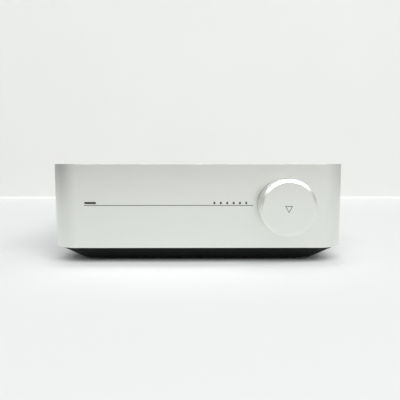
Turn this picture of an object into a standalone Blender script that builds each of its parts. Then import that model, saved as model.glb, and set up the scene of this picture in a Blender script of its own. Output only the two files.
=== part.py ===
"""Compact stereo receiver: an aluminium housing on a flared base, one volume knob, rear sockets.

Sizes are metres. The front faces -Y, +Z is up, the feet stand on z = 0 and the housing is
centred on the Z axis. Outlines are lofted into closed solids, then cut and joined with Booleans.
"""

import math
from collections import namedtuple

import bmesh
import bpy
from mathutils import Matrix, Vector

# Overall body
BODY_WIDTH = 0.190
BODY_DEPTH = 0.190
HOUSING_HEIGHT = 0.0535
CORNER_RADIUS = 0.018
WALL = 0.003
TOP_THICKNESS = 0.0035
TOP_EDGE = 0.0004
RIM_EDGE = 0.0008

# Clearances: pieces that touch, pieces that turn or slide, and small trim in its slot
SEAT_GAP = 0.0003
RUN_GAP = 0.00015
TRIM_GAP = 0.00015

# Base tray and feet
BASE_HEIGHT = 0.010
BASE_TOP_INSET = 0.002
BASE_BOTTOM_INSET = 0.0175
BASE_BOTTOM_RADIUS = 0.005
BASE_FLOOR = 0.0025
BASE_SKIN = 0.0047
SPIGOT_HEIGHT = 0.004
FOOT_RADIUS = 0.009
FOOT_HEIGHT = 0.0015
FOOT_RECESS = 0.001
FOOT_EDGE = 0.0004
FOOT_INSET = 0.035

# Screws that hold the base to the housing, and the columns they bite into
SCREW_RADIUS = 0.0015
SCREW_HEAD_RADIUS = 0.0028
SCREW_HEAD_HEIGHT = 0.002
SCREW_GRIP = 0.010
TUBE_WALL = 0.0019
TUBE_HEIGHT = 0.0105
COLUMN_WALL = 0.0027

# Knob and encoder, on an axis that is KNOB_INSET from the right side and KNOB_DROP below the top
KNOB_INSET = 0.0401
KNOB_DROP = 0.0267
KNOB_RADIUS = 0.0175
KNOB_PROUD = 0.012
KNOB_EDGE = 0.0015
KNOB_WALL = 0.003
KNOB_FACE = 0.002
PUSH_TRAVEL = 0.0006
PUSH_CLEARANCE = 0.0004
HUB_CLEARANCE = 0.0019
SHAFT_RADIUS = 0.003
SHAFT_CUT = 0.0015
BUSHING_WALL = 0.0005
BUSHING_PROUD = 0.0032
NUT_WALL = 0.0012
NUT_THICKNESS = 0.002
ENCODER_WALL = 0.0016
ENCODER_FRONT = 0.0012
ROTOR_LIP = 0.0016
ROTOR_THICKNESS = 0.0012
PLUNGER_THICKNESS = 0.0021

# Front line just above the knob's axis, with the status window and level dots above its ends
LINE_INSET = 0.0229
LINE_KNOB_SPACE = 0.0026
LINE_RISE = 0.0006
LINE_HEIGHT = 0.0005
LINE_DEPTH = 0.0004
MARK_RISE = 0.00155
WINDOW_LINE_INSET = 0.0003
WINDOW_WIDTH = 0.0073
WINDOW_HEIGHT = 0.0013
WINDOW_CORNER = 0.0003
WINDOW_FLANGE = 0.0012
WINDOW_LIP = 0.0012
DOT_COUNT = 6
DOT_LINE_INSET = 0.00435
DOT_PITCH = 0.00403
DOT_RADIUS = 0.0007
GUIDE_HEIGHT = 0.003
GUIDE_MARGIN = 0.0015
LED_HEIGHT = 0.002
TRIM_RECESS = 0.0001

# Circuit boards
BOARD_THICKNESS = 0.0016
BOARD_SIDE_SPACE = 0.015
BOARD_FRONT_SPACE = 0.025
BOARD_REAR_SPACE = 0.0045
BOARD_SPLIT_X = 0.012
BOARD_SPACE = 0.002
BOARD_WING_DEPTH = 0.0225
POST_RADIUS = 0.003
PIN_RADIUS = 0.0012
POST_MARGIN = 0.008
POST_Y = 0.045
FRONT_BOARD_MARGIN = 0.010
FRONT_BOARD_HEIGHT = 0.020

# Rear panel in its rebate
PANEL_THICKNESS = 0.0012
PANEL_RECESS = 0.0005
PANEL_CORNER = 0.0015
PANEL_LEDGE = 0.0031
PANEL_SPACE = 0.001
PANEL_SCREW_RADIUS = 0.0009
PANEL_HEAD_RADIUS = 0.0016
PANEL_HEAD_HEIGHT = 0.0007
PANEL_SCREW_LENGTH = 0.004

# Loudspeaker terminals, two columns and two rows
TERMINAL_COLUMN_SPACING = 0.0185
TERMINAL_ROW_SPACING = 0.01905
TERMINAL_PLATE_MARGIN = 0.0075
TERMINAL_PLATE = 0.002
CAP_LENGTH = 0.0099
CAP_EDGE = 0.0006
CAP_END = 0.0022
CAP_WALL = 0.0014
SLEEVE_WALL = 0.0012
STUD_WALL = 0.0009
BANANA_RADIUS = 0.0021
WIRE_HOLE_RADIUS = 0.0011
WIRE_HOLE_RISE = 0.0018
STUD_FLANGE_LIP = 0.0015
STUD_FLANGE = 0.0015
STUD_TAIL_RADIUS = 0.0014
STUD_TAIL = 0.006
TERMINAL_BOARD_GAP = 0.003

# Rear sockets, side by side across the panel
SOCKET_SPACE = 0.0019
SOCKET_PROUD = 0.0005
PHONO_RADIUS = 0.0042
PHONO_PROUD = 0.008
PHONO_BLOCK_LIP = 0.0012
PHONO_BLOCK_DEPTH = 0.009
PHONO_HOLE_RADIUS = 0.0016
PHONO_HOLE_DEPTH = 0.008
PHONO_LIP = 0.0006
OPTICAL_SIDE = 0.0096
OPTICAL_DEPTH = 0.014
OPTICAL_POCKET = 0.008
OPTICAL_POCKET_DEPTH = 0.010
SHUTTER_THICKNESS = 0.0008
SHUTTER_RECESS = 0.0008
SHUTTER_PIVOT_DROP = 0.0009
SHUTTER_TOP_GAP = 0.0004
HDMI_WIDTH = 0.015
HDMI_HEIGHT = 0.006
HDMI_DEPTH = 0.012
USB_WIDTH = 0.0132
USB_HEIGHT = 0.0064
USB_DEPTH = 0.014
ETHERNET_WIDTH = 0.0155
ETHERNET_HEIGHT = 0.0135
ETHERNET_DEPTH = 0.017
ETHERNET_POCKET_WIDTH = 0.0118
ETHERNET_POCKET_HEIGHT = 0.0072
ETHERNET_POCKET_DEPTH = 0.013
LATCH_WIDTH = 0.006
LATCH_HEIGHT = 0.002
SHELL_WALL = 0.0006
POCKET_DEPTH = 0.009
TONGUE_LENGTH = 0.007
TONGUE_THICKNESS = 0.0015
TONGUE_SIDE_GAP = 0.0012
INLET_FLANGE_WIDTH = 0.0225
INLET_FLANGE_HEIGHT = 0.015
INLET_FLANGE = 0.0015
INLET_CORNER = 0.003
INLET_BODY_WIDTH = 0.0195
INLET_BODY_HEIGHT = 0.0115
INLET_DEPTH = 0.014
INLET_POCKET_WIDTH = 0.0160
INLET_POCKET_HEIGHT = 0.0086
INLET_POCKET_DEPTH = 0.0125
INLET_PIN_RADIUS = 0.0012
INLET_PIN_LENGTH = 0.009
INLET_PIN_SPACING = 0.0086

# Parts that stand on the boards
TRANSFORMER_SIZE = (0.032, 0.034, 0.026)
TRANSFORMER_AT = (0.046, -0.022)
CAPACITOR_RADIUS = 0.009
CAPACITOR_HEIGHT = 0.026
CAPACITOR_EDGE = 0.001
CAPACITOR_Y = 0.030
CAPACITOR_X = 0.046
CAPACITOR_SPACE = 0.004
CHIP_SIZE = (0.014, 0.014, 0.002)
CHIP_AT = (-0.024, 0.030)
HEATSINK_SIZE = (0.052, 0.040, 0.024)
HEATSINK_BASE = 0.005
FIN_COUNT = 7
FIN_THICKNESS = 0.002
RADIO_SIZE = (0.022, 0.026, 0.003)
RADIO_AT = (-0.046, -0.030)
ANTENNA_SIZE = (0.040, 0.010, 0.0008)
ANTENNA_AT = (-0.030, 0.0)
RIBBON_WIDTH = 0.014
RIBBON_THICKNESS = 0.0004
RIBBON_LAP = 0.008
RIBBON_X = -0.020
RIBBON_BEND = 0.003
LEAD_RADIUS = 0.0015
LEAD_REACH = 0.006
LEAD_COLUMN_SPACE = 0.0045
LEAD_STRAIGHT = 0.007
LEAD_STEPS = 14
LEAD_BEVEL_STEPS = 2

# Smoothness of round shapes
ROUND_SIDES = 16
SMALL_SIDES = 8
CORNER_STEPS = 6
EDGE_STEPS = 3
PAST = 0.001
MERGE_DISTANCE = 1e-7
SHARP_ANGLE = math.radians(30)

# Levels and faces worked out from the sizes above
RIM_Z = FOOT_HEIGHT + BASE_HEIGHT
TOP_Z = RIM_Z + HOUSING_HEIGHT
CEILING_Z = TOP_Z - TOP_THICKNESS
FLOOR_Z = FOOT_HEIGHT + BASE_FLOOR
FRONT_Y = -BODY_DEPTH / 2
REAR_Y = BODY_DEPTH / 2
KNOB_X = BODY_WIDTH / 2 - KNOB_INSET
KNOB_Z = TOP_Z - KNOB_DROP
LINE_LEFT = LINE_INSET - BODY_WIDTH / 2
LINE_RIGHT = KNOB_X - KNOB_RADIUS - LINE_KNOB_SPACE
WINDOW_X = LINE_LEFT + WINDOW_LINE_INSET + WINDOW_WIDTH / 2
DOT_FIRST_X = LINE_RIGHT - DOT_LINE_INSET - DOT_PITCH * (DOT_COUNT - 1)
LINE_Z = KNOB_Z + LINE_RISE
MARK_Z = LINE_Z + MARK_RISE
PANEL_Z = (RIM_Z + TOP_Z) / 2
UPPER_ROW_Z = PANEL_Z + TERMINAL_ROW_SPACING / 2
LOWER_ROW_Z = PANEL_Z - TERMINAL_ROW_SPACING / 2
PANEL_OUTER_Y = REAR_Y - PANEL_RECESS
PANEL_INNER_Y = PANEL_OUTER_Y - PANEL_THICKNESS

# Each round piece is built outwards from what it holds
TUBE_RADIUS = SCREW_HEAD_RADIUS + SEAT_GAP + TUBE_WALL
COLUMN_RADIUS = SCREW_RADIUS + SEAT_GAP + COLUMN_WALL
BUSHING_RADIUS = SHAFT_RADIUS + RUN_GAP + BUSHING_WALL
ROTOR_RADIUS = SHAFT_RADIUS + ROTOR_LIP
KNOB_GAP = PUSH_TRAVEL + PUSH_CLEARANCE
ENCODER_SIDE = 2 * (ROTOR_RADIUS + SEAT_GAP + ENCODER_WALL)
ENCODER_CAVITY = ROTOR_THICKNESS + PLUNGER_THICKNESS + PUSH_TRAVEL + 3 * SEAT_GAP
ENCODER_DEPTH = ENCODER_FRONT + ENCODER_CAVITY
ENCODER_BACK = WALL + SEAT_GAP + ENCODER_DEPTH
STUD_RADIUS = BANANA_RADIUS + STUD_WALL
STUD_FLANGE_RADIUS = STUD_RADIUS + STUD_FLANGE_LIP
CAP_BORE_RADIUS = STUD_RADIUS + SLEEVE_WALL + 2 * SEAT_GAP
CAP_RADIUS = CAP_BORE_RADIUS + CAP_WALL
PHONO_BLOCK_RADIUS = PHONO_RADIUS + PHONO_BLOCK_LIP

# The lower row of sockets rests on the boards, and the boards on the base
ON_BOARD_Z = LOWER_ROW_Z - PHONO_BLOCK_RADIUS
BOARD_TOP_Z = ON_BOARD_Z - SEAT_GAP
BOARD_Z = BOARD_TOP_Z - BOARD_THICKNESS
BOARD_REACH = BODY_WIDTH / 2 - BOARD_SIDE_SPACE
BOARD_FRONT_Y = FRONT_Y + BOARD_FRONT_SPACE
BOARD_REAR_Y = REAR_Y - BOARD_REAR_SPACE
BOARD_WING_Y = BOARD_REAR_Y - BOARD_WING_DEPTH
FRONT_BOARD_BACK = ENCODER_BACK + SEAT_GAP + BOARD_THICKNESS
PLATE_OUTER_Y = PANEL_OUTER_Y + SEAT_GAP + TERMINAL_PLATE
CAP_SEAT_Y = PLATE_OUTER_Y + SEAT_GAP
SOCKET_FACE_Y = PANEL_OUTER_Y + SOCKET_PROUD
FOOT_X = BODY_WIDTH / 2 - FOOT_INSET
FOOT_Y = BODY_DEPTH / 2 - FOOT_INSET
COLUMNS = [Vector((x * FOOT_X, y * FOOT_Y, 0)) for x in (-1, 1) for y in (-1, 1)]
CORNER_NAMES = ["front_left", "rear_left", "front_right", "rear_right"]

# Widths of what stands side by side on the rear panel, from -X to +X, and the middle of each
TERMINALS_WIDTH = TERMINAL_COLUMN_SPACING + 2 * TERMINAL_PLATE_MARGIN
SOCKET_WIDTHS = {
    "ethernet": ETHERNET_WIDTH,
    "usb": USB_WIDTH,
    "hdmi": HDMI_WIDTH,
    "optical": OPTICAL_SIDE,
    "sub_out": 2 * PHONO_BLOCK_RADIUS,
    "line_in": 2 * PHONO_BLOCK_RADIUS,
    "terminals": TERMINALS_WIDTH,
    "inlet": INLET_FLANGE_WIDTH,
}
SOCKETS_WIDTH = sum(SOCKET_WIDTHS.values()) + SOCKET_SPACE * (len(SOCKET_WIDTHS) - 1)
SOCKET_X = {}
reached = -SOCKETS_WIDTH / 2
for socket, width in SOCKET_WIDTHS.items():
    SOCKET_X[socket] = reached + width / 2
    reached += width + SOCKET_SPACE
PANEL_WIDTH = SOCKETS_WIDTH + 2 * (PANEL_SPACE + PANEL_LEDGE)
PANEL_HEIGHT = TERMINAL_ROW_SPACING + 2 * (PHONO_BLOCK_RADIUS + PANEL_SPACE + PANEL_LEDGE)
PANEL_SCREW_INSET = PANEL_LEDGE / 2

# A loft is a list of (outline, height) sections. A ring loft joins its last section to its first.
Body = namedtuple("Body", "sections ring place")
UPRIGHT = Matrix.Identity(4)
FACING_FRONT = Matrix.Rotation(math.pi / 2, 4, "X")
FACING_REAR = Matrix.Rotation(math.pi, 4, "Z") @ FACING_FRONT


def circle(radius, sides=ROUND_SIDES):
    turns = [2 * math.pi * (i + 0.5) / sides for i in range(sides)]
    return [(radius * math.cos(t), radius * math.sin(t)) for t in turns]


def d_outline(radius, flat, sides=ROUND_SIDES):
    """A circle with its upper side cut flat."""
    return [(x, min(y, flat)) for x, y in circle(radius, sides)]


def rectangle(width, depth):
    x, y = width / 2, depth / 2
    return [(-x, -y), (x, -y), (x, y), (-x, y)]


def rounded_rectangle(width, depth, radius, steps=CORNER_STEPS):
    """A rectangle with an arc at each corner, counter-clockwise."""
    points = []
    for quarter, (sx, sy) in enumerate([(1, 1), (-1, 1), (-1, -1), (1, -1)]):
        cx, cy = sx * (width / 2 - radius), sy * (depth / 2 - radius)
        for step in range(steps + 1):
            turn = (quarter + step / steps) * math.pi / 2
            points.append((cx + radius * math.cos(turn), cy + radius * math.sin(turn)))
    return points


def body_outline(inset, radius=None):
    """The housing's plan outline, moved inwards."""
    radius = CORNER_RADIUS - inset if radius is None else radius
    return rounded_rectangle(BODY_WIDTH - 2 * inset, BODY_DEPTH - 2 * inset, radius)


def loft(sections, at=(0, 0, 0), facing=UPRIGHT, ring=False):
    return Body(sections, ring, Matrix.Translation(at) @ facing)


def prism(outline, low, high, at=(0, 0, 0), facing=UPRIGHT):
    return loft([(outline, low), (outline, high)], at, facing)


def turned(profile, at=(0, 0, 0), facing=UPRIGHT, sides=ROUND_SIDES, ring=False):
    return loft([(circle(r, sides), z) for r, z in profile], at, facing, ring)


def rod(radius, low, high, at=(0, 0, 0), facing=UPRIGHT, sides=ROUND_SIDES):
    return turned([(radius, low), (radius, high)], at, facing, sides)


def tube(inner, outer, low, high, at=(0, 0, 0), facing=UPRIGHT, sides=ROUND_SIDES):
    profile = [(inner, low), (outer, low), (outer, high), (inner, high)]
    return turned(profile, at, facing, sides, ring=True)


def add_body(mesh, body):
    """Adds one closed loft: a wall between neighbouring sections, and end caps unless it is a ring."""
    rows = []
    for outline, height in body.sections:
        rows.append([mesh.verts.new(body.place @ Vector((x, y, height))) for x, y in outline])
    pairs = list(zip(rows, rows[1:]))
    if body.ring:
        pairs.append((rows[-1], rows[0]))
    else:
        mesh.faces.new(rows[0][::-1])
        mesh.faces.new(rows[-1])
    for low, high in pairs:
        for i in range(len(low)):
            j = (i + 1) % len(low)
            mesh.faces.new((low[i], low[j], high[j], high[i]))


def new_object(name, bodies, at=(0, 0, 0), facing=UPRIGHT):
    mesh = bmesh.new()
    for body in bodies:
        add_body(mesh, body)
    bmesh.ops.remove_doubles(mesh, verts=mesh.verts, dist=MERGE_DISTANCE)
    bmesh.ops.recalc_face_normals(mesh, faces=mesh.faces)
    data = bpy.data.meshes.new(name)
    mesh.to_mesh(data)
    mesh.free()
    data.shade_smooth()
    data.set_sharp_from_angle(angle=SHARP_ANGLE)
    item = bpy.data.objects.new(name, data)
    bpy.context.scene.collection.objects.link(item)
    item.matrix_world = Matrix.Translation(at) @ facing
    return item


def finish(item, color, roughness, metallic=0.0):
    material = bpy.data.materials.new(item.name)
    material.use_nodes = True
    shader = material.node_tree.nodes["Principled BSDF"]
    shader.inputs["Base Color"].default_value = (*color, 1.0)
    shader.inputs["Roughness"].default_value = roughness
    shader.inputs["Metallic"].default_value = metallic
    item.data.materials.append(material)
    return item


def combine(item, operation, label, bodies):
    """Cuts or joins the item with helper bodies, given in world coordinates."""
    helper = new_object(f"{item.name}_{label}", bodies)
    helper.hide_render = True
    helper.display_type = "WIRE"
    step = item.modifiers.new(label, "BOOLEAN")
    step.operation = operation
    step.solver = "EXACT"
    step.object = helper
    return item


def cut(item, label, bodies):
    return combine(item, "DIFFERENCE", label, bodies)


def join(item, label, bodies):
    return combine(item, "UNION", label, bodies)


def aluminium(item):
    return finish(item, (0.70, 0.71, 0.68), 0.35, 1.0)


def steel(item):
    return finish(item, (0.55, 0.55, 0.55), 0.3, 1.0)


def gold(item):
    return finish(item, (0.80, 0.58, 0.25), 0.25, 1.0)


def black_plastic(item):
    return finish(item, (0.012, 0.012, 0.013), 0.45)


def circuit_board(item):
    return finish(item, (0.02, 0.09, 0.04), 0.5)


def front_point(x, z):
    return (x, FRONT_Y, z)


def on_panel(x, z):
    return (x, PANEL_OUTER_Y, z)


def dot_places():
    return [DOT_FIRST_X + DOT_PITCH * i for i in range(DOT_COUNT)]


def terminal_places():
    """Name, x and z of each loudspeaker terminal. Right channel stands nearer the mains inlet."""
    places = []
    for side, sign in (("right", 1), ("left", -1)):
        x = SOCKET_X["terminals"] + sign * TERMINAL_COLUMN_SPACING / 2
        places.append((f"{side}_plus", x, UPPER_ROW_Z))
        places.append((f"{side}_minus", x, LOWER_ROW_Z))
    return places


def panel_screw_places():
    reach_x = PANEL_WIDTH / 2 - PANEL_SCREW_INSET
    reach_z = PANEL_HEIGHT / 2 - PANEL_SCREW_INSET
    return [(x * reach_x, PANEL_Z + z * reach_z) for x in (-1, 1) for z in (-1, 1)]


def housing():
    """One-piece shell, open below, with screw columns and every front and rear cut-out."""
    sections = [
        (body_outline(WALL), CEILING_Z),
        (body_outline(WALL), RIM_Z),
        (body_outline(RIM_EDGE), RIM_Z),
        (body_outline(0), RIM_Z + RIM_EDGE),
        (body_outline(0), TOP_Z - TOP_EDGE),
        (body_outline(TOP_EDGE), TOP_Z),
    ]
    shell = aluminium(new_object("housing", [loft(sections)]))
    foot_z = FLOOR_Z + TUBE_HEIGHT + SEAT_GAP
    hole_z = foot_z + SCREW_GRIP + SEAT_GAP
    middle = CEILING_Z + TOP_THICKNESS / 2
    pilot = SCREW_RADIUS + SEAT_GAP
    join(shell, "columns", [rod(COLUMN_RADIUS, foot_z, middle, at, sides=SMALL_SIDES) for at in COLUMNS])
    cut(shell, "pilots", [rod(pilot, foot_z - PAST, hole_z, at, sides=SMALL_SIDES) for at in COLUMNS])
    front_cuts = [
        prism(rectangle(LINE_RIGHT - LINE_LEFT, LINE_HEIGHT), -LINE_DEPTH, PAST,
              front_point((LINE_LEFT + LINE_RIGHT) / 2, LINE_Z), FACING_FRONT),
        rod(BUSHING_RADIUS + SEAT_GAP, -WALL - PAST, PAST, front_point(KNOB_X, KNOB_Z), FACING_FRONT),
        prism(rounded_rectangle(WINDOW_WIDTH, WINDOW_HEIGHT, WINDOW_CORNER),
              -WALL - PAST, PAST, front_point(WINDOW_X, MARK_Z), FACING_FRONT),
    ]
    for x in dot_places():
        front_cuts.append(
            rod(DOT_RADIUS, -WALL - PAST, PAST, front_point(x, MARK_Z), FACING_FRONT, SMALL_SIDES))
    cut(shell, "front", front_cuts)
    panel_at = on_panel(0, PANEL_Z)
    rebate = rounded_rectangle(
        PANEL_WIDTH + 2 * SEAT_GAP, PANEL_HEIGHT + 2 * SEAT_GAP, PANEL_CORNER + SEAT_GAP)
    opening = rounded_rectangle(
        PANEL_WIDTH - 2 * PANEL_LEDGE, PANEL_HEIGHT - 2 * PANEL_LEDGE, PANEL_CORNER)
    cut(shell, "rebate", [prism(rebate, -PANEL_THICKNESS - SEAT_GAP, WALL, panel_at, FACING_REAR)])
    cut(shell, "opening", [prism(opening, -WALL - PAST, WALL, panel_at, FACING_REAR)])
    cut(shell, "panel_pilots", [
        rod(PANEL_SCREW_RADIUS + SEAT_GAP, -WALL - PAST, WALL, on_panel(x, z), FACING_REAR, SMALL_SIDES)
        for x, z in panel_screw_places()])


def base_inset(z):
    """How far the flared side lies inside the housing's outline at a level."""
    rise = (z - FOOT_HEIGHT) / (RIM_Z - SEAT_GAP - FOOT_HEIGHT)
    return BASE_BOTTOM_INSET + (BASE_TOP_INSET - BASE_BOTTOM_INSET) * rise


def board_posts():
    """Middle of each post that carries a circuit board."""
    left = (-BOARD_REACH + POST_MARGIN, BOARD_SPLIT_X - POST_MARGIN)
    right = (BOARD_SPLIT_X + BOARD_SPACE + POST_MARGIN, BOARD_REACH - POST_MARGIN)
    return {
        "main_board": [(x, y, 0) for x in left for y in (-POST_Y, POST_Y)],
        "power_board": [(x, y, 0) for x in right for y in (-POST_Y, POST_Y)],
    }


def base_tray():
    """Flared tray with a spigot inside the housing, board posts with pins, and screw tubes."""
    shoulder_z = RIM_Z - SEAT_GAP
    inner = BASE_TOP_INSET + BASE_SKIN
    sections = [
        (body_outline(BASE_BOTTOM_INSET, BASE_BOTTOM_RADIUS), FOOT_HEIGHT),
        (body_outline(BASE_TOP_INSET), shoulder_z),
        (body_outline(WALL + SEAT_GAP), shoulder_z),
        (body_outline(WALL + SEAT_GAP), RIM_Z + SPIGOT_HEIGHT),
        (body_outline(inner), RIM_Z + SPIGOT_HEIGHT),
        (body_outline(inner), shoulder_z),
        (body_outline(base_inset(FLOOR_Z) + BASE_SKIN, BASE_BOTTOM_RADIUS), FLOOR_Z),
    ]
    tray = black_plastic(new_object("base_tray", [loft(sections)]))
    inside_floor = FLOOR_Z - BASE_FLOOR / 2
    seat = BOARD_Z - SEAT_GAP
    post = [
        (POST_RADIUS, inside_floor), (POST_RADIUS, seat),
        (PIN_RADIUS, seat), (PIN_RADIUS, BOARD_TOP_Z),
    ]
    posts = [turned(post, at, sides=SMALL_SIDES) for group in board_posts().values() for at in group]
    tubes = [rod(TUBE_RADIUS, inside_floor, FLOOR_Z + TUBE_HEIGHT, at, sides=SMALL_SIDES) for at in COLUMNS]
    join(tray, "posts", posts + tubes)
    recess_z = FOOT_HEIGHT + FOOT_RECESS
    well = [
        (FOOT_RADIUS + SEAT_GAP, FOOT_HEIGHT - PAST), (FOOT_RADIUS + SEAT_GAP, recess_z),
        (SCREW_HEAD_RADIUS + SEAT_GAP, recess_z), (SCREW_HEAD_RADIUS + SEAT_GAP, head_seat_z()),
        (SCREW_RADIUS + SEAT_GAP, head_seat_z()), (SCREW_RADIUS + SEAT_GAP, FLOOR_Z + TUBE_HEIGHT + PAST),
    ]
    cut(tray, "wells", [turned(well, at, sides=SMALL_SIDES) for at in COLUMNS])


def head_seat_z():
    """Level of the shoulder that each base screw's head pulls against."""
    return FOOT_HEIGHT + FOOT_RECESS + SCREW_HEAD_HEIGHT + 2 * SEAT_GAP


def feet_and_base_screws():
    foot = [
        (FOOT_RADIUS - FOOT_EDGE, 0), (FOOT_RADIUS, FOOT_EDGE),
        (FOOT_RADIUS, FOOT_HEIGHT + FOOT_RECESS - SEAT_GAP),
    ]
    head_top = head_seat_z() - SEAT_GAP
    screw = [
        (SCREW_HEAD_RADIUS, head_top - SCREW_HEAD_HEIGHT), (SCREW_HEAD_RADIUS, head_top),
        (SCREW_RADIUS, head_top), (SCREW_RADIUS, FLOOR_Z + TUBE_HEIGHT + SCREW_GRIP),
    ]
    for corner, at in zip(CORNER_NAMES, COLUMNS):
        pad = new_object(f"foot_{corner}", [turned(foot, sides=SMALL_SIDES)], at)
        finish(pad, (0.01, 0.01, 0.01), 0.8)
        steel(new_object(f"base_screw_{corner}", [turned(screw, sides=SMALL_SIDES)], at))


def knob():
    """Turned aluminium cap with a plastic hub that grips the encoder's flatted shaft."""
    axis = front_point(KNOB_X, KNOB_Z)
    cavity = KNOB_RADIUS - KNOB_WALL
    ceiling = KNOB_PROUD - KNOB_FACE
    profile = [(cavity, ceiling), (cavity, KNOB_GAP), (KNOB_RADIUS, KNOB_GAP)]
    for step in range(EDGE_STEPS + 1):
        turn = step / EDGE_STEPS * math.pi / 2
        radius = KNOB_RADIUS - KNOB_EDGE * (1 - math.cos(turn))
        profile.append((radius, KNOB_PROUD - KNOB_EDGE * (1 - math.sin(turn))))
    aluminium(new_object("knob_cap", [turned(profile)], axis, FACING_FRONT))
    hub_top = ceiling - SEAT_GAP
    hub_low = BUSHING_PROUD + PUSH_TRAVEL + HUB_CLEARANCE
    shaft_flat = SHAFT_RADIUS - SHAFT_CUT
    bore = d_outline(SHAFT_RADIUS + SEAT_GAP, shaft_flat + SEAT_GAP)
    rim = circle(cavity - SEAT_GAP)
    hub = [(bore, hub_low), (rim, hub_low), (rim, hub_top), (bore, hub_top)]
    black_plastic(new_object("knob_hub", [loft(hub, ring=True)], axis, FACING_FRONT))
    rotor_top = -WALL - SEAT_GAP - ENCODER_FRONT - SEAT_GAP
    rotor_low = rotor_top - ROTOR_THICKNESS
    flat = d_outline(SHAFT_RADIUS, shaft_flat)
    flat_low = BUSHING_PROUD
    shaft = [
        (circle(ROTOR_RADIUS), rotor_low), (circle(ROTOR_RADIUS), rotor_top),
        (circle(SHAFT_RADIUS), rotor_top), (circle(SHAFT_RADIUS), flat_low),
        (flat, flat_low), (flat, hub_top - SEAT_GAP),
    ]
    steel(new_object("encoder_shaft", [loft(shaft)], axis, FACING_FRONT))
    plunger_top = rotor_low - SEAT_GAP
    plunger = rod(ROTOR_RADIUS, plunger_top - PLUNGER_THICKNESS, plunger_top)
    black_plastic(new_object("switch_plunger", [plunger], axis, FACING_FRONT))


def encoder():
    """Switch body behind the front wall, its bushing through the wall, and the nut that clamps it."""
    axis = front_point(KNOB_X, KNOB_Z)
    face = -WALL - SEAT_GAP
    case = prism(rectangle(ENCODER_SIDE, ENCODER_SIDE), -ENCODER_BACK, face)
    body = steel(new_object("encoder_body", [case], axis, FACING_FRONT))
    join(body, "bushing", [rod(BUSHING_RADIUS, face - ENCODER_FRONT / 2, BUSHING_PROUD, axis, FACING_FRONT)])
    inside = face - ENCODER_FRONT
    bore = [
        (ROTOR_RADIUS + SEAT_GAP, -ENCODER_BACK - PAST), (ROTOR_RADIUS + SEAT_GAP, inside),
        (SHAFT_RADIUS + RUN_GAP, inside), (SHAFT_RADIUS + RUN_GAP, BUSHING_PROUD + PAST),
    ]
    cut(body, "bore", [turned(bore, axis, FACING_FRONT)])
    hexagon = 1 / math.cos(math.pi / 6)
    nut_bore = BUSHING_RADIUS + SEAT_GAP
    nut = tube(nut_bore * hexagon, (nut_bore + NUT_WALL) * hexagon,
               SEAT_GAP, SEAT_GAP + NUT_THICKNESS, sides=6)
    steel(new_object("encoder_nut", [nut], axis, FACING_FRONT))


def front_marks():
    """Dark status window, the six-pin light guide, and what lights or reads them."""
    board_face = -ENCODER_BACK - SEAT_GAP
    behind_wall = -WALL - SEAT_GAP
    slot_height = WINDOW_HEIGHT - 2 * TRIM_GAP
    nose = rounded_rectangle(WINDOW_WIDTH - 2 * TRIM_GAP, slot_height, WINDOW_CORNER - TRIM_GAP)
    lip_height = WINDOW_HEIGHT + 2 * WINDOW_LIP
    lip = rounded_rectangle(WINDOW_WIDTH + 2 * WINDOW_LIP, lip_height, WINDOW_CORNER + WINDOW_LIP)
    lip_low = behind_wall - WINDOW_FLANGE
    lens = [(lip, lip_low), (lip, behind_wall), (nose, behind_wall), (nose, -TRIM_RECESS)]
    window_at = front_point(WINDOW_X, MARK_Z)
    finish(new_object("status_window", [loft(lens)], window_at, FACING_FRONT), (0.01, 0.01, 0.012), 0.15)
    eye = prism(rectangle(WINDOW_WIDTH, lip_height), board_face + SEAT_GAP, lip_low - SEAT_GAP)
    black_plastic(new_object("ir_receiver", [eye], window_at, FACING_FRONT))
    places = dot_places()
    span = places[-1] - places[0] + 2 * (DOT_RADIUS + GUIDE_MARGIN)
    guide_at = front_point((places[0] + places[-1]) / 2, MARK_Z)
    led_top = board_face + SEAT_GAP + LED_HEIGHT
    bar = prism(rectangle(span, GUIDE_HEIGHT), led_top + SEAT_GAP, behind_wall)
    guide = finish(new_object("light_guide", [bar], guide_at, FACING_FRONT), (0.03, 0.03, 0.03), 0.3)
    join(guide, "pins", [
        rod(DOT_RADIUS - TRIM_GAP, behind_wall - PAST, -TRIM_RECESS,
            front_point(x, MARK_Z), FACING_FRONT, SMALL_SIDES) for x in places])
    strip = prism(rectangle(span, GUIDE_HEIGHT), board_face + SEAT_GAP, led_top)
    finish(new_object("led_array", [strip], guide_at, FACING_FRONT), (0.8, 0.8, 0.75), 0.4)
    board_left, board_right = WINDOW_X - FRONT_BOARD_MARGIN, KNOB_X + FRONT_BOARD_MARGIN
    flat = rectangle(board_right - board_left, FRONT_BOARD_HEIGHT)
    board = prism(flat, -FRONT_BOARD_BACK, board_face)
    board_at = front_point((board_left + board_right) / 2, KNOB_Z)
    circuit_board(new_object("front_board", [board], board_at, FACING_FRONT))


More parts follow.
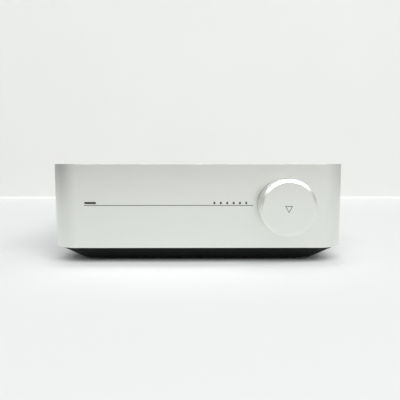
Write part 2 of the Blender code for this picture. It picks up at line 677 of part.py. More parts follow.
def terminal(name, x, z):
    """Hollow stud clamped in the panel, a threaded sleeve on it, and the cap that turns the sleeve."""
    axis = (x, CAP_SEAT_Y, z)
    end = CAP_LENGTH - CAP_END
    sleeve_inner = STUD_RADIUS + SEAT_GAP
    sleeve_outer = sleeve_inner + SLEEVE_WALL
    flange_top = PANEL_INNER_Y - SEAT_GAP - CAP_SEAT_Y
    flange_low = flange_top - STUD_FLANGE
    stud_end = end - 2 * SEAT_GAP
    socket_floor = WIRE_HOLE_RISE + WIRE_HOLE_RADIUS + SEAT_GAP
    stud = [
        (STUD_TAIL_RADIUS, flange_low - STUD_TAIL), (STUD_TAIL_RADIUS, flange_low),
        (STUD_FLANGE_RADIUS, flange_low), (STUD_FLANGE_RADIUS, flange_top),
        (STUD_RADIUS, flange_top), (STUD_RADIUS, stud_end),
        (BANANA_RADIUS, stud_end), (BANANA_RADIUS, socket_floor),
    ]
    post = gold(new_object(f"terminal_stud_{name}", [turned(stud)], axis, FACING_REAR))
    across = Matrix.Rotation(math.pi / 2, 4, "Y")
    hole_at = (x, CAP_SEAT_Y + WIRE_HOLE_RISE, z)
    cut(post, "wire_hole", [
        rod(WIRE_HOLE_RADIUS, -STUD_FLANGE_RADIUS, STUD_FLANGE_RADIUS, hole_at, across, SMALL_SIDES)])
    sleeve = tube(sleeve_inner, sleeve_outer, SEAT_GAP, end - SEAT_GAP)
    gold(new_object(f"terminal_sleeve_{name}", [sleeve], axis, FACING_REAR))
    shell = [
        (CAP_BORE_RADIUS, 0), (CAP_RADIUS, 0), (CAP_RADIUS, CAP_LENGTH - CAP_EDGE),
        (CAP_RADIUS - CAP_EDGE, CAP_LENGTH), (BANANA_RADIUS, CAP_LENGTH), (BANANA_RADIUS, end),
        (CAP_BORE_RADIUS, end),
    ]
    grip = new_object(f"terminal_cap_{name}", [turned(shell, ring=True)], axis, FACING_REAR)
    color = (0.35, 0.01, 0.01) if name.endswith("plus") else (0.012, 0.012, 0.012)
    finish(grip, color, 0.35)


def terminals():
    """Insulating plate outside the panel, four terminals, and the board that their tails meet."""
    places = terminal_places()
    for place in places:
        terminal(*place)
    width = TERMINALS_WIDTH
    height = TERMINAL_ROW_SPACING + 2 * TERMINAL_PLATE_MARGIN
    outline = rounded_rectangle(width, height, PANEL_CORNER)
    middle = on_panel(SOCKET_X["terminals"], PANEL_Z)
    plate = new_object(
        "terminal_plate", [prism(outline, SEAT_GAP, SEAT_GAP + TERMINAL_PLATE)], middle, FACING_REAR)
    black_plastic(plate)
    cut(plate, "holes", [
        rod(STUD_RADIUS + SEAT_GAP, -PAST, TERMINAL_PLATE + PAST, on_panel(x, z), FACING_REAR)
        for _, x, z in places])
    top = UPPER_ROW_Z + TERMINAL_PLATE_MARGIN / 2
    board_y = PANEL_INNER_Y - SEAT_GAP - STUD_FLANGE - TERMINAL_BOARD_GAP
    board_at = (SOCKET_X["terminals"], board_y, (ON_BOARD_Z + top) / 2)
    flat = prism(rectangle(width, top - ON_BOARD_Z), -BOARD_THICKNESS, 0)
    board = circuit_board(new_object("terminal_board", [flat], board_at, FACING_REAR))
    cut(board, "holes", [
        rod(STUD_TAIL_RADIUS + SEAT_GAP, -BOARD_THICKNESS - PAST, PAST, (x, board_y, z), FACING_REAR)
        for _, x, z in places])


def phono_socket(name, x, z):
    """Barrel through the panel with a pin hole in its insulator, and a block behind the panel."""
    block_top = -PANEL_THICKNESS - SEAT_GAP
    lip = PHONO_RADIUS - PHONO_LIP
    profile = [
        (PHONO_BLOCK_RADIUS, block_top - PHONO_BLOCK_DEPTH), (PHONO_BLOCK_RADIUS, block_top),
        (PHONO_RADIUS, block_top), (PHONO_RADIUS, PHONO_PROUD), (lip, PHONO_PROUD),
        (lip, PHONO_PROUD - PHONO_LIP), (PHONO_HOLE_RADIUS, PHONO_PROUD - PHONO_LIP),
        (PHONO_HOLE_RADIUS, PHONO_PROUD - PHONO_HOLE_DEPTH),
    ]
    gold(new_object(name, [turned(profile)], on_panel(x, z), FACING_REAR))


def socket_case(name, x, width, height, depth):
    """A board-mounted socket's closed case, with its mouth just proud of the panel."""
    at = (x, SOCKET_FACE_Y, ON_BOARD_Z + height / 2)
    return new_object(name, [prism(rectangle(width, height), -depth, 0)], at, FACING_REAR), at


def tongue_socket(name, x, width, height, depth):
    """Thin metal shell around a pocket with a contact tongue on its far wall."""
    case, at = socket_case(name, x, width, height, depth)
    steel(case)
    pocket_width = width - 2 * SHELL_WALL
    pocket = rectangle(pocket_width, height - 2 * SHELL_WALL)
    cut(case, "pocket", [prism(pocket, -POCKET_DEPTH, PAST, at, FACING_REAR)])
    tongue = rectangle(pocket_width - 2 * TONGUE_SIDE_GAP, TONGUE_THICKNESS)
    back = -POCKET_DEPTH - PAST
    join(case, "tongue", [prism(tongue, back, TONGUE_LENGTH - POCKET_DEPTH, at, FACING_REAR)])


def ethernet_port():
    case, at = socket_case("ethernet_port", SOCKET_X["ethernet"], ETHERNET_WIDTH, ETHERNET_HEIGHT, ETHERNET_DEPTH)
    steel(case)
    x, z = ETHERNET_POCKET_WIDTH / 2, ETHERNET_POCKET_HEIGHT / 2
    latch = LATCH_WIDTH / 2
    outline = [
        (-x, z), (-x, -z), (-latch, -z), (-latch, -z - LATCH_HEIGHT),
        (latch, -z - LATCH_HEIGHT), (latch, -z), (x, -z), (x, z),
    ]
    cut(case, "pocket", [prism(outline, -ETHERNET_POCKET_DEPTH, PAST, at, FACING_REAR)])


def optical_port():
    """Square optical socket with a sprung shutter that hangs from the top of its mouth."""
    case, at = socket_case("optical_jack", SOCKET_X["optical"], OPTICAL_SIDE, OPTICAL_SIDE, OPTICAL_DEPTH)
    black_plastic(case)
    pocket = rectangle(OPTICAL_POCKET, OPTICAL_POCKET)
    cut(case, "pocket", [prism(pocket, -OPTICAL_POCKET_DEPTH, PAST, at, FACING_REAR)])
    pivot_z = at[2] + OPTICAL_POCKET / 2 - SHUTTER_PIVOT_DROP
    pivot = (SOCKET_X["optical"], SOCKET_FACE_Y - SHUTTER_RECESS - SHUTTER_THICKNESS / 2, pivot_z)
    top = SHUTTER_PIVOT_DROP - SHUTTER_TOP_GAP
    low = SHUTTER_PIVOT_DROP + SEAT_GAP - OPTICAL_POCKET
    half = OPTICAL_POCKET / 2 - SEAT_GAP
    flap = [(-half, low), (half, low), (half, top), (-half, top)]
    leaf = prism(flap, -SHUTTER_THICKNESS / 2, SHUTTER_THICKNESS / 2)
    black_plastic(new_object("optical_shutter", [leaf], pivot, FACING_REAR))


def power_inlet():
    """Two-pin mains inlet, pushed in from outside until its flange meets the panel."""
    at = on_panel(SOCKET_X["inlet"], PANEL_Z)
    face = SEAT_GAP + INLET_FLANGE
    flange = rounded_rectangle(INLET_FLANGE_WIDTH, INLET_FLANGE_HEIGHT, INLET_CORNER)
    box = rounded_rectangle(INLET_BODY_WIDTH, INLET_BODY_HEIGHT, INLET_CORNER)
    sections = [(box, -INLET_DEPTH), (box, SEAT_GAP), (flange, SEAT_GAP), (flange, face)]
    case = black_plastic(new_object("power_inlet", [loft(sections)], at, FACING_REAR))
    mouth = rounded_rectangle(INLET_POCKET_WIDTH, INLET_POCKET_HEIGHT, INLET_POCKET_HEIGHT / 2)
    floor = face - INLET_POCKET_DEPTH
    cut(case, "pocket", [prism(mouth, floor, face + PAST, at, FACING_REAR)])
    join(case, "pins", [
        rod(INLET_PIN_RADIUS, floor - PAST, floor + INLET_PIN_LENGTH,
            on_panel(SOCKET_X["inlet"] + side * INLET_PIN_SPACING / 2, PANEL_Z), FACING_REAR, SMALL_SIDES)
        for side in (-1, 1)])


def rear_sockets():
    phono_socket("line_in_left", SOCKET_X["line_in"], UPPER_ROW_Z)
    phono_socket("line_in_right", SOCKET_X["line_in"], LOWER_ROW_Z)
    phono_socket("sub_out", SOCKET_X["sub_out"], LOWER_ROW_Z)
    tongue_socket("hdmi_port", SOCKET_X["hdmi"], HDMI_WIDTH, HDMI_HEIGHT, HDMI_DEPTH)
    tongue_socket("usb_port", SOCKET_X["usb"], USB_WIDTH, USB_HEIGHT, USB_DEPTH)
    ethernet_port()
    optical_port()
    power_inlet()


def rear_panel():
    """Plate in the rear rebate, with a hole for each socket, held by a screw at each corner."""
    outline = rounded_rectangle(PANEL_WIDTH, PANEL_HEIGHT, PANEL_CORNER)
    flat = prism(outline, -PANEL_THICKNESS, 0)
    plate = black_plastic(new_object("rear_panel", [flat], on_panel(0, PANEL_Z), FACING_REAR))

    def square_hole(x, width, height):
        opening = rectangle(width + 2 * SEAT_GAP, height + 2 * SEAT_GAP)
        at = on_panel(x, ON_BOARD_Z + height / 2)
        return prism(opening, -PANEL_THICKNESS - PAST, PAST, at, FACING_REAR)

    def round_hole(x, z, radius, sides=ROUND_SIDES):
        low = -PANEL_THICKNESS - PAST
        return rod(radius + SEAT_GAP, low, PAST, on_panel(x, z), FACING_REAR, sides)

    inlet = rounded_rectangle(
        INLET_BODY_WIDTH + 2 * SEAT_GAP, INLET_BODY_HEIGHT + 2 * SEAT_GAP, INLET_CORNER + SEAT_GAP)
    holes = [
        square_hole(SOCKET_X["hdmi"], HDMI_WIDTH, HDMI_HEIGHT),
        square_hole(SOCKET_X["usb"], USB_WIDTH, USB_HEIGHT),
        square_hole(SOCKET_X["ethernet"], ETHERNET_WIDTH, ETHERNET_HEIGHT),
        square_hole(SOCKET_X["optical"], OPTICAL_SIDE, OPTICAL_SIDE),
        round_hole(SOCKET_X["line_in"], UPPER_ROW_Z, PHONO_RADIUS),
        round_hole(SOCKET_X["line_in"], LOWER_ROW_Z, PHONO_RADIUS),
        round_hole(SOCKET_X["sub_out"], LOWER_ROW_Z, PHONO_RADIUS),
        prism(inlet, -PANEL_THICKNESS - PAST, PAST, on_panel(SOCKET_X["inlet"], PANEL_Z), FACING_REAR),
    ]
    holes += [round_hole(x, z, STUD_RADIUS) for _, x, z in terminal_places()]
    holes += [round_hole(x, z, PANEL_SCREW_RADIUS, SMALL_SIDES) for x, z in panel_screw_places()]
    cut(plate, "holes", holes)
    head_low = SEAT_GAP
    screw = [
        (PANEL_SCREW_RADIUS, head_low - PANEL_SCREW_LENGTH), (PANEL_SCREW_RADIUS, head_low),
        (PANEL_HEAD_RADIUS, head_low), (PANEL_HEAD_RADIUS, head_low + PANEL_HEAD_HEIGHT),
    ]
    names = ["low_left", "high_left", "low_right", "high_right"]
    for name, (x, z) in zip(names, panel_screw_places()):
        item = new_object(
            f"rear_screw_{name}", [turned(screw, sides=SMALL_SIDES)], on_panel(x, z), FACING_REAR)
        steel(item)


def circuit_boards():
    """Main board with a wing behind the terminals, and the power board beside it."""
    left, right, split = -BOARD_REACH, BOARD_REACH, BOARD_SPLIT_X
    wing = SOCKET_X["terminals"] + TERMINALS_WIDTH / 2
    power_left = split + BOARD_SPACE
    power_rear = BOARD_WING_Y - BOARD_SPACE
    outlines = {
        "main_board": [
            (left, BOARD_FRONT_Y), (split, BOARD_FRONT_Y), (split, BOARD_WING_Y),
            (wing, BOARD_WING_Y), (wing, BOARD_REAR_Y), (left, BOARD_REAR_Y),
        ],
        "power_board": [
            (power_left, BOARD_FRONT_Y), (right, BOARD_FRONT_Y),
            (right, power_rear), (power_left, power_rear),
        ],
    }
    for name, outline in outlines.items():
        board = circuit_board(new_object(name, [prism(outline, 0, BOARD_THICKNESS)], (0, 0, BOARD_Z)))
        low, high = BOARD_Z - PAST, BOARD_TOP_Z + PAST
        side = -1 if name == "main_board" else 1
        passed = [at for at in COLUMNS if at.x * side > 0]
        holes = [rod(COLUMN_RADIUS + SEAT_GAP, low, high, at, sides=SMALL_SIDES) for at in passed]
        pins = board_posts()[name]
        holes += [rod(PIN_RADIUS + SEAT_GAP, low, high, at, sides=SMALL_SIDES) for at in pins]
        cut(board, "holes", holes)


def box(size):
    return prism(rectangle(size[0], size[1]), 0, size[2])


def board_parts():
    """Transformer, capacitors, amplifier chip with its heatsink, radio module and antenna."""
    at = (*TRANSFORMER_AT, ON_BOARD_Z)
    finish(new_object("transformer", [box(TRANSFORMER_SIZE)], at), (0.35, 0.27, 0.05), 0.5)
    can = [
        (CAPACITOR_RADIUS, 0), (CAPACITOR_RADIUS, CAPACITOR_HEIGHT - CAPACITOR_EDGE),
        (CAPACITOR_RADIUS - CAPACITOR_EDGE, CAPACITOR_HEIGHT),
    ]
    for side, name in ((-1, "inner"), (1, "outer")):
        offset = side * (CAPACITOR_RADIUS + CAPACITOR_SPACE / 2)
        at = (CAPACITOR_X + offset, CAPACITOR_Y, ON_BOARD_Z)
        black_plastic(new_object(f"bulk_capacitor_{name}", [turned(can, sides=SMALL_SIDES)], at))
    black_plastic(new_object("amplifier_chip", [box(CHIP_SIZE)], (*CHIP_AT, ON_BOARD_Z)))
    length, depth, height = HEATSINK_SIZE
    pitch = (length - FIN_THICKNESS) / (FIN_COUNT - 1)
    comb = [(-length / 2, 0), (length / 2, 0)]
    for fin in reversed(range(FIN_COUNT)):
        edge = -length / 2 + pitch * fin
        comb += [(edge + FIN_THICKNESS, height), (edge, height)]
        if fin:
            comb += [(edge, HEATSINK_BASE), (edge - pitch + FIN_THICKNESS, HEATSINK_BASE)]
    sink_at = (CHIP_AT[0], CHIP_AT[1], ON_BOARD_Z + CHIP_SIZE[2] + SEAT_GAP)
    fins = prism(comb, -depth / 2, depth / 2)
    aluminium(new_object("heatsink", [fins], sink_at, FACING_FRONT))
    steel(new_object("wireless_module", [box(RADIO_SIZE)], (*RADIO_AT, ON_BOARD_Z)))
    antenna_at = (*ANTENNA_AT, FLOOR_Z + SEAT_GAP)
    circuit_board(new_object("antenna", [box(ANTENNA_SIZE)], antenna_at))


def ribbon():
    """Flat cable from the back of the front board, down and round a bend, onto the main board."""
    back = FRONT_Y + FRONT_BOARD_BACK + SEAT_GAP
    high = KNOB_Z - FRONT_BOARD_HEIGHT / 2 + RIBBON_LAP
    low = ON_BOARD_Z
    inner, outer = [], []
    for step in range(CORNER_STEPS + 1):
        turn = math.pi / 2 * step / CORNER_STEPS
        dy, dz = math.cos(turn), math.sin(turn)
        outer.append((back + RIBBON_BEND - RIBBON_BEND * dy, low + RIBBON_BEND - RIBBON_BEND * dz))
        bend = RIBBON_BEND - RIBBON_THICKNESS
        inner.append((back + RIBBON_BEND - bend * dy, low + RIBBON_BEND - bend * dz))
    end = BOARD_FRONT_Y + RIBBON_LAP
    path = [(back, high), *outer, (end, low), (end, low + RIBBON_THICKNESS), *inner[::-1]]
    path.append((back + RIBBON_THICKNESS, high))
    sideways = Matrix(((0, 0, 1, 0), (1, 0, 0, 0), (0, 1, 0, 0), (0, 0, 0, 1)))
    strip = prism(path, -RIBBON_WIDTH / 2, RIBBON_WIDTH / 2)
    finish(new_object("front_ribbon", [strip], (RIBBON_X, 0, 0), sideways), (0.7, 0.7, 0.7), 0.5)


def mains_lead():
    """Insulated lead from the back of the mains inlet, round a screw column, onto the power board."""
    start = Vector((SOCKET_X["inlet"], PANEL_OUTER_Y - INLET_DEPTH - SEAT_GAP, PANEL_Z))
    leave = start - Vector((0, LEAD_STRAIGHT, 0))
    land_x = FOOT_X + COLUMN_RADIUS + LEAD_COLUMN_SPACE + LEAD_RADIUS
    land = Vector((land_x, BOARD_WING_Y - BOARD_SPACE - LEAD_REACH, ON_BOARD_Z))
    arrive = land + Vector((0, 0, LEAD_STRAIGHT))
    curve = bpy.data.curves.new("mains_lead", "CURVE")
    curve.dimensions = "3D"
    curve.bevel_depth = LEAD_RADIUS
    curve.bevel_resolution = LEAD_BEVEL_STEPS
    curve.use_fill_caps = True
    line = curve.splines.new("POLY")
    line.points.add(LEAD_STEPS)
    for i, point in enumerate(line.points):
        t = i / LEAD_STEPS
        along = (1 - t) ** 3 * start + 3 * t * (1 - t) ** 2 * leave
        along += 3 * t**2 * (1 - t) * arrive + t**3 * land
        point.co = (*along, 1.0)
    lead = bpy.data.objects.new("mains_lead", curve)
    bpy.context.scene.collection.objects.link(lead)
    black_plastic(lead)


def main():
    for item in list(bpy.data.objects):
        bpy.data.objects.remove(item)
    housing()
    base_tray()
    feet_and_base_screws()
    knob()
    encoder()
    front_marks()
    terminals()
    rear_sockets()
    rear_panel()
    circuit_boards()
    board_parts()
    ribbon()
    mains_lead()
    root = bpy.data.objects.new("receiver", None)
    bpy.context.scene.collection.objects.link(root)
    for item in bpy.data.objects:
        if item is not root:
            item.parent = root


main()
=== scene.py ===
"""Looks of a compact stereo receiver: silver housing, flared base, volume knob and rear sockets.

Lengths are metres in the frame of the packed model. The front faces -Y and +Z is up.
"""

import math

import bmesh
import bpy
import numpy as np
from bpy.props import FloatProperty, FloatVectorProperty, IntProperty, PointerProperty
from bpy.types import Operator, Panel, PropertyGroup
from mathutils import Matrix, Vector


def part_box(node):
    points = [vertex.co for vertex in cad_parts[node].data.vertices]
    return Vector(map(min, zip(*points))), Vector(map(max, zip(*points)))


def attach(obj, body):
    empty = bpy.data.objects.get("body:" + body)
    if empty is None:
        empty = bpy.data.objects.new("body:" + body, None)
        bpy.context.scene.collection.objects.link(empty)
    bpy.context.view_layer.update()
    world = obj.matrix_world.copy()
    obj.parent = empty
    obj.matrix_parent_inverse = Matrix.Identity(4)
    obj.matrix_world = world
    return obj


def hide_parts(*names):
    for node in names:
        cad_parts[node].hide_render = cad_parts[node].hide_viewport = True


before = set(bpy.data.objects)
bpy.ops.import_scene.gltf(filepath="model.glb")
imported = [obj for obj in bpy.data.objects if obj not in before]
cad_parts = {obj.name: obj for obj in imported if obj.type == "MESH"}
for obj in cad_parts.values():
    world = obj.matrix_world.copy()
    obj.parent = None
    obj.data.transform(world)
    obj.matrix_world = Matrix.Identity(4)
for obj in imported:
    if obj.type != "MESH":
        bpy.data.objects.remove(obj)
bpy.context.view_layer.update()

bl_info = {
    "name": "Stereo receiver looks",
    "version": (1, 0, 0),
    "blender": (4, 5, 0),
    "location": "View3D > Sidebar > Receiver",
    "description": "Builds the visible pieces, finishes and stage of a compact stereo receiver",
    "category": "Object",
}

# Places that the packed model gives
HOUSING_LOW, HOUSING_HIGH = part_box("housing")
KNOB_LOW, KNOB_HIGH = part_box("knob_cap")
BASE_LOW, BASE_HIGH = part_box("base_tray")
PANEL_LOW, PANEL_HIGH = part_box("rear_panel")

# Directions of a local shape: its own z points up, out of the front, out of the rear or to the right
UP = np.eye(3)
FRONT = np.array([[1, 0, 0], [0, 0, -1], [0, 1, 0]])
REAR = np.array([[-1, 0, 0], [0, 0, 1], [0, 1, 0]])
SIDEWAYS = np.array([[0, 0, 1], [0, 1, 0], [-1, 0, 0]])

# Fineness of round shapes, the angle of a sharp edge, and how near points merge and how far cuts pass
ROUND_SIDES = 96
SMALL_SIDES = 32
CORNER_STEPS = 24
SMALL_CORNER_STEPS = 6
EDGE_STEPS = 5
SHARP_ANGLE = math.radians(32)
MERGE_DISTANCE = 1e-7
PAST = 0.001

# Sides of the packed model's round solids
CAD_ROUND_SIDES = 16
CAD_SMALL_SIDES = 8

# Pieces that come in fours
CORNERS = ("front_left", "rear_left", "front_right", "rear_right")
TERMINALS = ("right_plus", "right_minus", "left_plus", "left_minus")
REAR_SCREWS = ("low_left", "high_left", "low_right", "high_right")


def length(name, description, default):
    """A size in metres that the sidebar shows."""
    return FloatProperty(
        name=name, description=description, default=default, subtype="DISTANCE", unit="LENGTH", precision=5)


def number(name, description, default):
    """A plain number that the sidebar shows."""
    return FloatProperty(name=name, description=description, default=default, precision=4)


def angle(name, description, default):
    """An angle, given here in degrees."""
    return FloatProperty(
        name=name, description=description, default=math.radians(default), subtype="ANGLE", unit="ROTATION")


def colour(name, description, default):
    """A linear colour."""
    return FloatVectorProperty(
        name=name, description=description, default=default, subtype="COLOR", size=3, min=0.0, max=1.0)


def place(name, description, default):
    """A point in the shared frame."""
    return FloatVectorProperty(
        name=name, description=description, default=default, subtype="TRANSLATION", unit="LENGTH", size=3)


class BodySizes(PropertyGroup):
    """Housing, base and feet."""

    corner_radius: length("Corner radius", "Plan radius of the housing's corners", 0.018)
    wall: length("Wall", "Thickness of the housing's sides", 0.003)
    top_thickness: length("Top thickness", "Thickness of the housing's top", 0.0035)
    top_edge: length("Top edge", "Rounding along the top", 0.0001)
    rim_edge: length("Rim edge", "Rounding along the lower rim", 0.0008)
    seat_gap: length("Seat gap", "Space between pieces that meet", 0.0003)
    column_radius: length("Column radius", "Outside of the screw columns under the top", 0.0045)
    pilot_radius: length("Pilot radius", "Screw hole in a column", 0.0018)
    column_low: length("Column foot", "Level of the columns' lower ends", 0.0148)
    base_top_inset: length("Base top inset", "How far the base stands back under the rim", 0.002)
    base_bottom_inset: length("Base bottom inset", "How far the base stands back below", 0.0175)
    base_bottom_radius: length("Base bottom radius", "Plan radius of the base's lower corners", 0.005)
    base_bottom_edge: length("Base lower edge", "Rounding along the base's lower edge", 0.0007)
    base_floor: length("Base floor", "Thickness of the base's floor", 0.0025)
    base_skin: length("Base skin", "Thickness of the base's flared side", 0.0047)
    base_shoulder: length("Base shoulder", "Level of the base's shoulder under the rim", 0.0112)
    foot_edge: length("Foot edge", "Rounding of a foot's lower edge", 0.0004)
    foot_recess: length("Foot recess", "Depth of the round wells that hold the feet", 0.001)
    foot_dish: length("Foot dish", "Depth of the dished middle of a foot", 0.0003)
    tube_radius: length("Tube radius", "Outside of the base's screw tubes", 0.005)
    tube_top: length("Tube top", "Upper end of the base's screw tubes", 0.0145)
    screw_well: length("Screw well", "Radius of the wells that take the screw heads", 0.0031)
    screw_seat: length("Screw seat", "Level that the screw heads pull against", 0.0051)


class FrontSizes(PropertyGroup):
    """Line, window, dots and knob."""

    line_left: length("Line left", "Left end of the front line", -0.0721)
    line_right: length("Line right", "Right end of the front line", 0.0348)
    line_height: length("Line height", "Height of the front line", 0.0005)
    line_depth: length("Line depth", "Depth of the front line", 0.0004)
    line_fill: length("Line fill", "Thickness of the lacquer in the line", 0.00025)
    mark_rise: length("Mark rise", "How far the window and dots stand above the line", 0.00155)
    window_width: length("Window width", "Width of the window's slot", 0.0073)
    window_height: length("Window height", "Height of the window's slot", 0.0013)
    window_corner: length("Window corner", "Corner radius of the window's slot", 0.0003)
    dot_count: IntProperty(name="Dots", description="How many level dots there are", default=6, min=1)
    dot_first: length("First dot", "Middle of the first level dot", 0.0103)
    dot_pitch: length("Dot pitch", "Distance from dot to dot", 0.00403)
    dot_radius: length("Dot radius", "Radius of a level dot's hole", 0.0007)
    shaft_hole: length("Shaft hole", "Radius of the hole behind the knob", 0.00395)
    bevel_width: length("Bevel width", "Width of the bevel round the knob's face", 0.0018)
    bevel_depth: length("Bevel depth", "Depth of the bevel round the knob's face", 0.00065)
    bevel_soft: length("Bevel edges", "How far the bevel's two edges are taken off", 0.0001)
    knob_heel: length("Knob heel", "Bevel of the knob's edge next to the housing", 0.0003)
    knob_wall: length("Knob wall", "Thickness of the knob's skirt", 0.003)
    knob_face: length("Knob face", "Thickness of the knob's face", 0.002)
    triangle_width: length("Triangle width", "Width of the triangle on the knob", 0.0048)
    triangle_height: length("Triangle height", "Height of the triangle on the knob", 0.0044)
    triangle_stroke: length("Triangle stroke", "Width of the triangle's line", 0.00042)
    triangle_depth: length("Triangle depth", "Depth of the triangle's groove", 0.00025)
    triangle_fill: length("Triangle fill", "Thickness of the lacquer in the groove", 0.00018)
    triangle_drop: length("Triangle drop", "How far the triangle's middle lies below the knob's axis", 0.0008)


class RearSizes(PropertyGroup):
    """Rear panel, terminals and sockets."""

    panel_corner: length("Panel corner", "Corner radius of the rear panel", 0.0015)
    panel_ledge: length("Panel ledge", "Ledge of the housing behind the panel's edge", 0.0031)
    screw_shank: length("Screw shank", "Radius of a panel screw", 0.0009)
    cross_width: length("Cross width", "Width of a screw head's cross slot", 0.00045)
    cross_reach: length("Cross reach", "Half length of a screw head's cross slot", 0.0010)
    cross_depth: length("Cross depth", "Depth of a screw head's cross slot", 0.00045)
    stud_radius: length("Stud radius", "Radius of a terminal's stud", 0.003)
    banana_radius: length("Plug bore", "Bore that takes a banana plug", 0.0021)
    cap_bore: length("Cap bore", "Bore of a terminal cap", 0.0048)
    cap_end: length("Cap end", "Thickness of a terminal cap's end", 0.0022)
    cap_edge: length("Cap edge", "Bevel of a terminal cap's end", 0.0007)
    flute_depth: length("Flute depth", "Depth of the flutes round a terminal cap", 0.0004)
    flute_count: IntProperty(name="Flutes", description="Flutes round a terminal cap", default=20, min=6)
    wire_hole: length("Wire hole", "Radius of the wire hole through a stud", 0.0011)
    wire_rise: length("Wire hole rise", "Wire hole from the terminal plate", 0.0018)
    phono_radius: length("Phono radius", "Outside of a phono barrel", 0.0042)
    phono_wall: length("Phono wall", "Thickness of a phono barrel", 0.0006)
    phono_pin: length("Phono pin hole", "Radius of a phono socket's pin hole", 0.0016)
    phono_depth: length("Phono pin depth", "Depth of a phono socket's pin hole", 0.008)
    shell_wall: length("Shell wall", "Thickness of a socket's metal shell", 0.0006)
    pocket_depth: length("Pocket depth", "Depth of a small socket", 0.009)
    tongue_length: length("Tongue length", "Length of a contact tongue", 0.007)
    tongue_thickness: length("Tongue thickness", "Thickness of a contact tongue", 0.0015)
    tongue_gap: length("Tongue gap", "Space beside a contact tongue", 0.0012)
    inlet_corner: length("Inlet corner", "Corner radius of the mains inlet", 0.003)


class Colours(PropertyGroup):
    """Linear colours of the finishes."""

    aluminium: colour("Anodised aluminium", "Housing and knob", (0.820, 0.835, 0.795))
    bare_aluminium: colour("Bare aluminium", "Heatsink", (0.62, 0.63, 0.64))
    base: colour("Base plastic", "Flared base", (0.0024, 0.0028, 0.0027))
    panel: colour("Panel paint", "Rear panel", (0.014, 0.014, 0.015))
    rubber: colour("Rubber", "Feet", (0.012, 0.012, 0.012))
    steel: colour("Steel", "Screws, shafts and shells", (0.56, 0.56, 0.57))
    plastic: colour("Black plastic", "Inner plastic pieces and socket bodies", (0.013, 0.013, 0.014))
    lens: colour("Lens", "Status window and light guide", (0.006, 0.006, 0.007))
    lacquer: colour("Lacquer", "Fill of the line and triangle", (0.120, 0.124, 0.122))
    led: colour("Light strip", "Diodes behind the dots", (0.72, 0.71, 0.62))
    laminate: colour("Board laminate", "Circuit boards", (0.010, 0.060, 0.028))
    copper: colour("Tracks", "Tracks under the boards' lacquer", (0.030, 0.120, 0.055))
    film: colour("Ribbon film", "Flat cable", (0.66, 0.66, 0.64))
    core: colour("Core tape", "Transformer", (0.36, 0.26, 0.04))
    gold: colour("Gold plating", "Contacts and studs", (0.83, 0.60, 0.26))
    red: colour("Red plastic", "Plus caps and right phono", (0.42, 0.012, 0.010))
    white: colour("White plastic", "Left phono", (0.72, 0.72, 0.69))
    amber: colour("Port light", "Ethernet lights", (0.48, 0.27, 0.04))


class StageSettings(PropertyGroup):
    """Camera, light and floor."""

    camera_at: place("Camera", "Where the camera stands", (0.0, -0.3528, 0.065))
    camera_pitch: angle("Camera pitch", "How far the camera looks down", 5.02)
    camera_turn: angle("Camera turn", "How far the camera turns to the right", 0.26)
    camera_lens: number("Lens", "Focal length in millimetres on a 36 mm sensor", 36.9)
    floor_colour: colour("Floor", "Pale table", (0.884, 0.900, 0.897))
    wall_colour: colour("Wall", "Pale backdrop", (0.675, 0.680, 0.666))
    backdrop_y: length("Backdrop", "Distance of the backdrop behind the middle", 0.43)
    backdrop_height: length("Backdrop height", "How far the backdrop rises", 0.5)
    backdrop_width: length("Backdrop width", "Width of the backdrop above the table", 0.92)
    table_size: length("Table size", "Width of the table and its reach to the front", 3.2)
    cove_radius: length("Cove", "Radius between table and backdrop", 0.004)
    sky_front: number("Room light, front", "Level of the soft light from the front", 0.55)
    sky_left: number("Room light, left", "Level of the soft light from the left", 0.22)
    sky_right: number("Room light, right", "Level of the soft light from the right", 0.73)
    sky_top: number("Room light, top", "Level of the soft light from straight above", 0.32)
    sky_back: number("Room light, back", "Level of the soft light from behind", 0.68)
    softbox_at: place("Softbox", "Where the softbox hangs, above and in front", (0.55, -3.20, 2.85))
    softbox_aim: place("Softbox aim", "Point that the softbox faces", (0.0, 0.0, 0.03))
    softbox_width: length("Softbox width", "Width of the softbox", 6.0)
    softbox_height: length("Softbox height", "Height of the softbox", 1.7)
    softbox_power: number("Softbox power", "Power of the softbox in watts", 219.0)


GROUPS = {
    "receiver_body": BodySizes,
    "receiver_front": FrontSizes,
    "receiver_rear": RearSizes,
    "receiver_colours": Colours,
    "receiver_stage": StageSettings,
}


# Outlines, as arrays of plan points, and profiles, as arrays of radius and height

def rounded(width, height, radius, steps=SMALL_CORNER_STEPS):
    """A rectangle whose four corners are quarter circles, counter-clockwise from the right."""
    turn = (np.arange(4)[:, None] + np.linspace(0, 1, steps + 1)) * np.pi / 2
    side_x = np.array([1, -1, -1, 1])[:, None] * (width / 2 - radius)
    side_y = np.array([1, 1, -1, -1])[:, None] * (height / 2 - radius)
    points = np.stack([side_x + radius * np.cos(turn), side_y + radius * np.sin(turn)], axis=-1)
    return points.reshape(-1, 2)


def triangle(width, height, inset=0.0):
    """A triangle that points down, about the middle of its height, with each side moved in by inset.

    Moving the sides in shrinks it about the middle of its inscribed circle.
    """
    points = np.array([(-width / 2, height / 2), (0, -height / 2), (width / 2, height / 2)])
    slant = math.hypot(width / 2, height)
    inner_radius = width * height / (width + 2 * slant)
    middle = np.array((0, height / 2 - inner_radius))
    return middle + (points - middle) * (1 - inset / inner_radius)


def arc(middle_r, middle_z, radius, start, end, steps=EDGE_STEPS):
    """Part of a circle in a profile, between two angles in degrees from the radius axis."""
    turn = np.radians(np.linspace(start, end, steps + 1))
    return np.stack([middle_r + radius * np.cos(turn), middle_z + radius * np.sin(turn)], axis=1)


def profile(*pieces):
    """Joins single points and arcs into one list of radius and height."""
    return np.concatenate([np.atleast_2d(np.asarray(piece, float)) for piece in pieces])


# Surfaces, each a pair of points and four-cornered faces

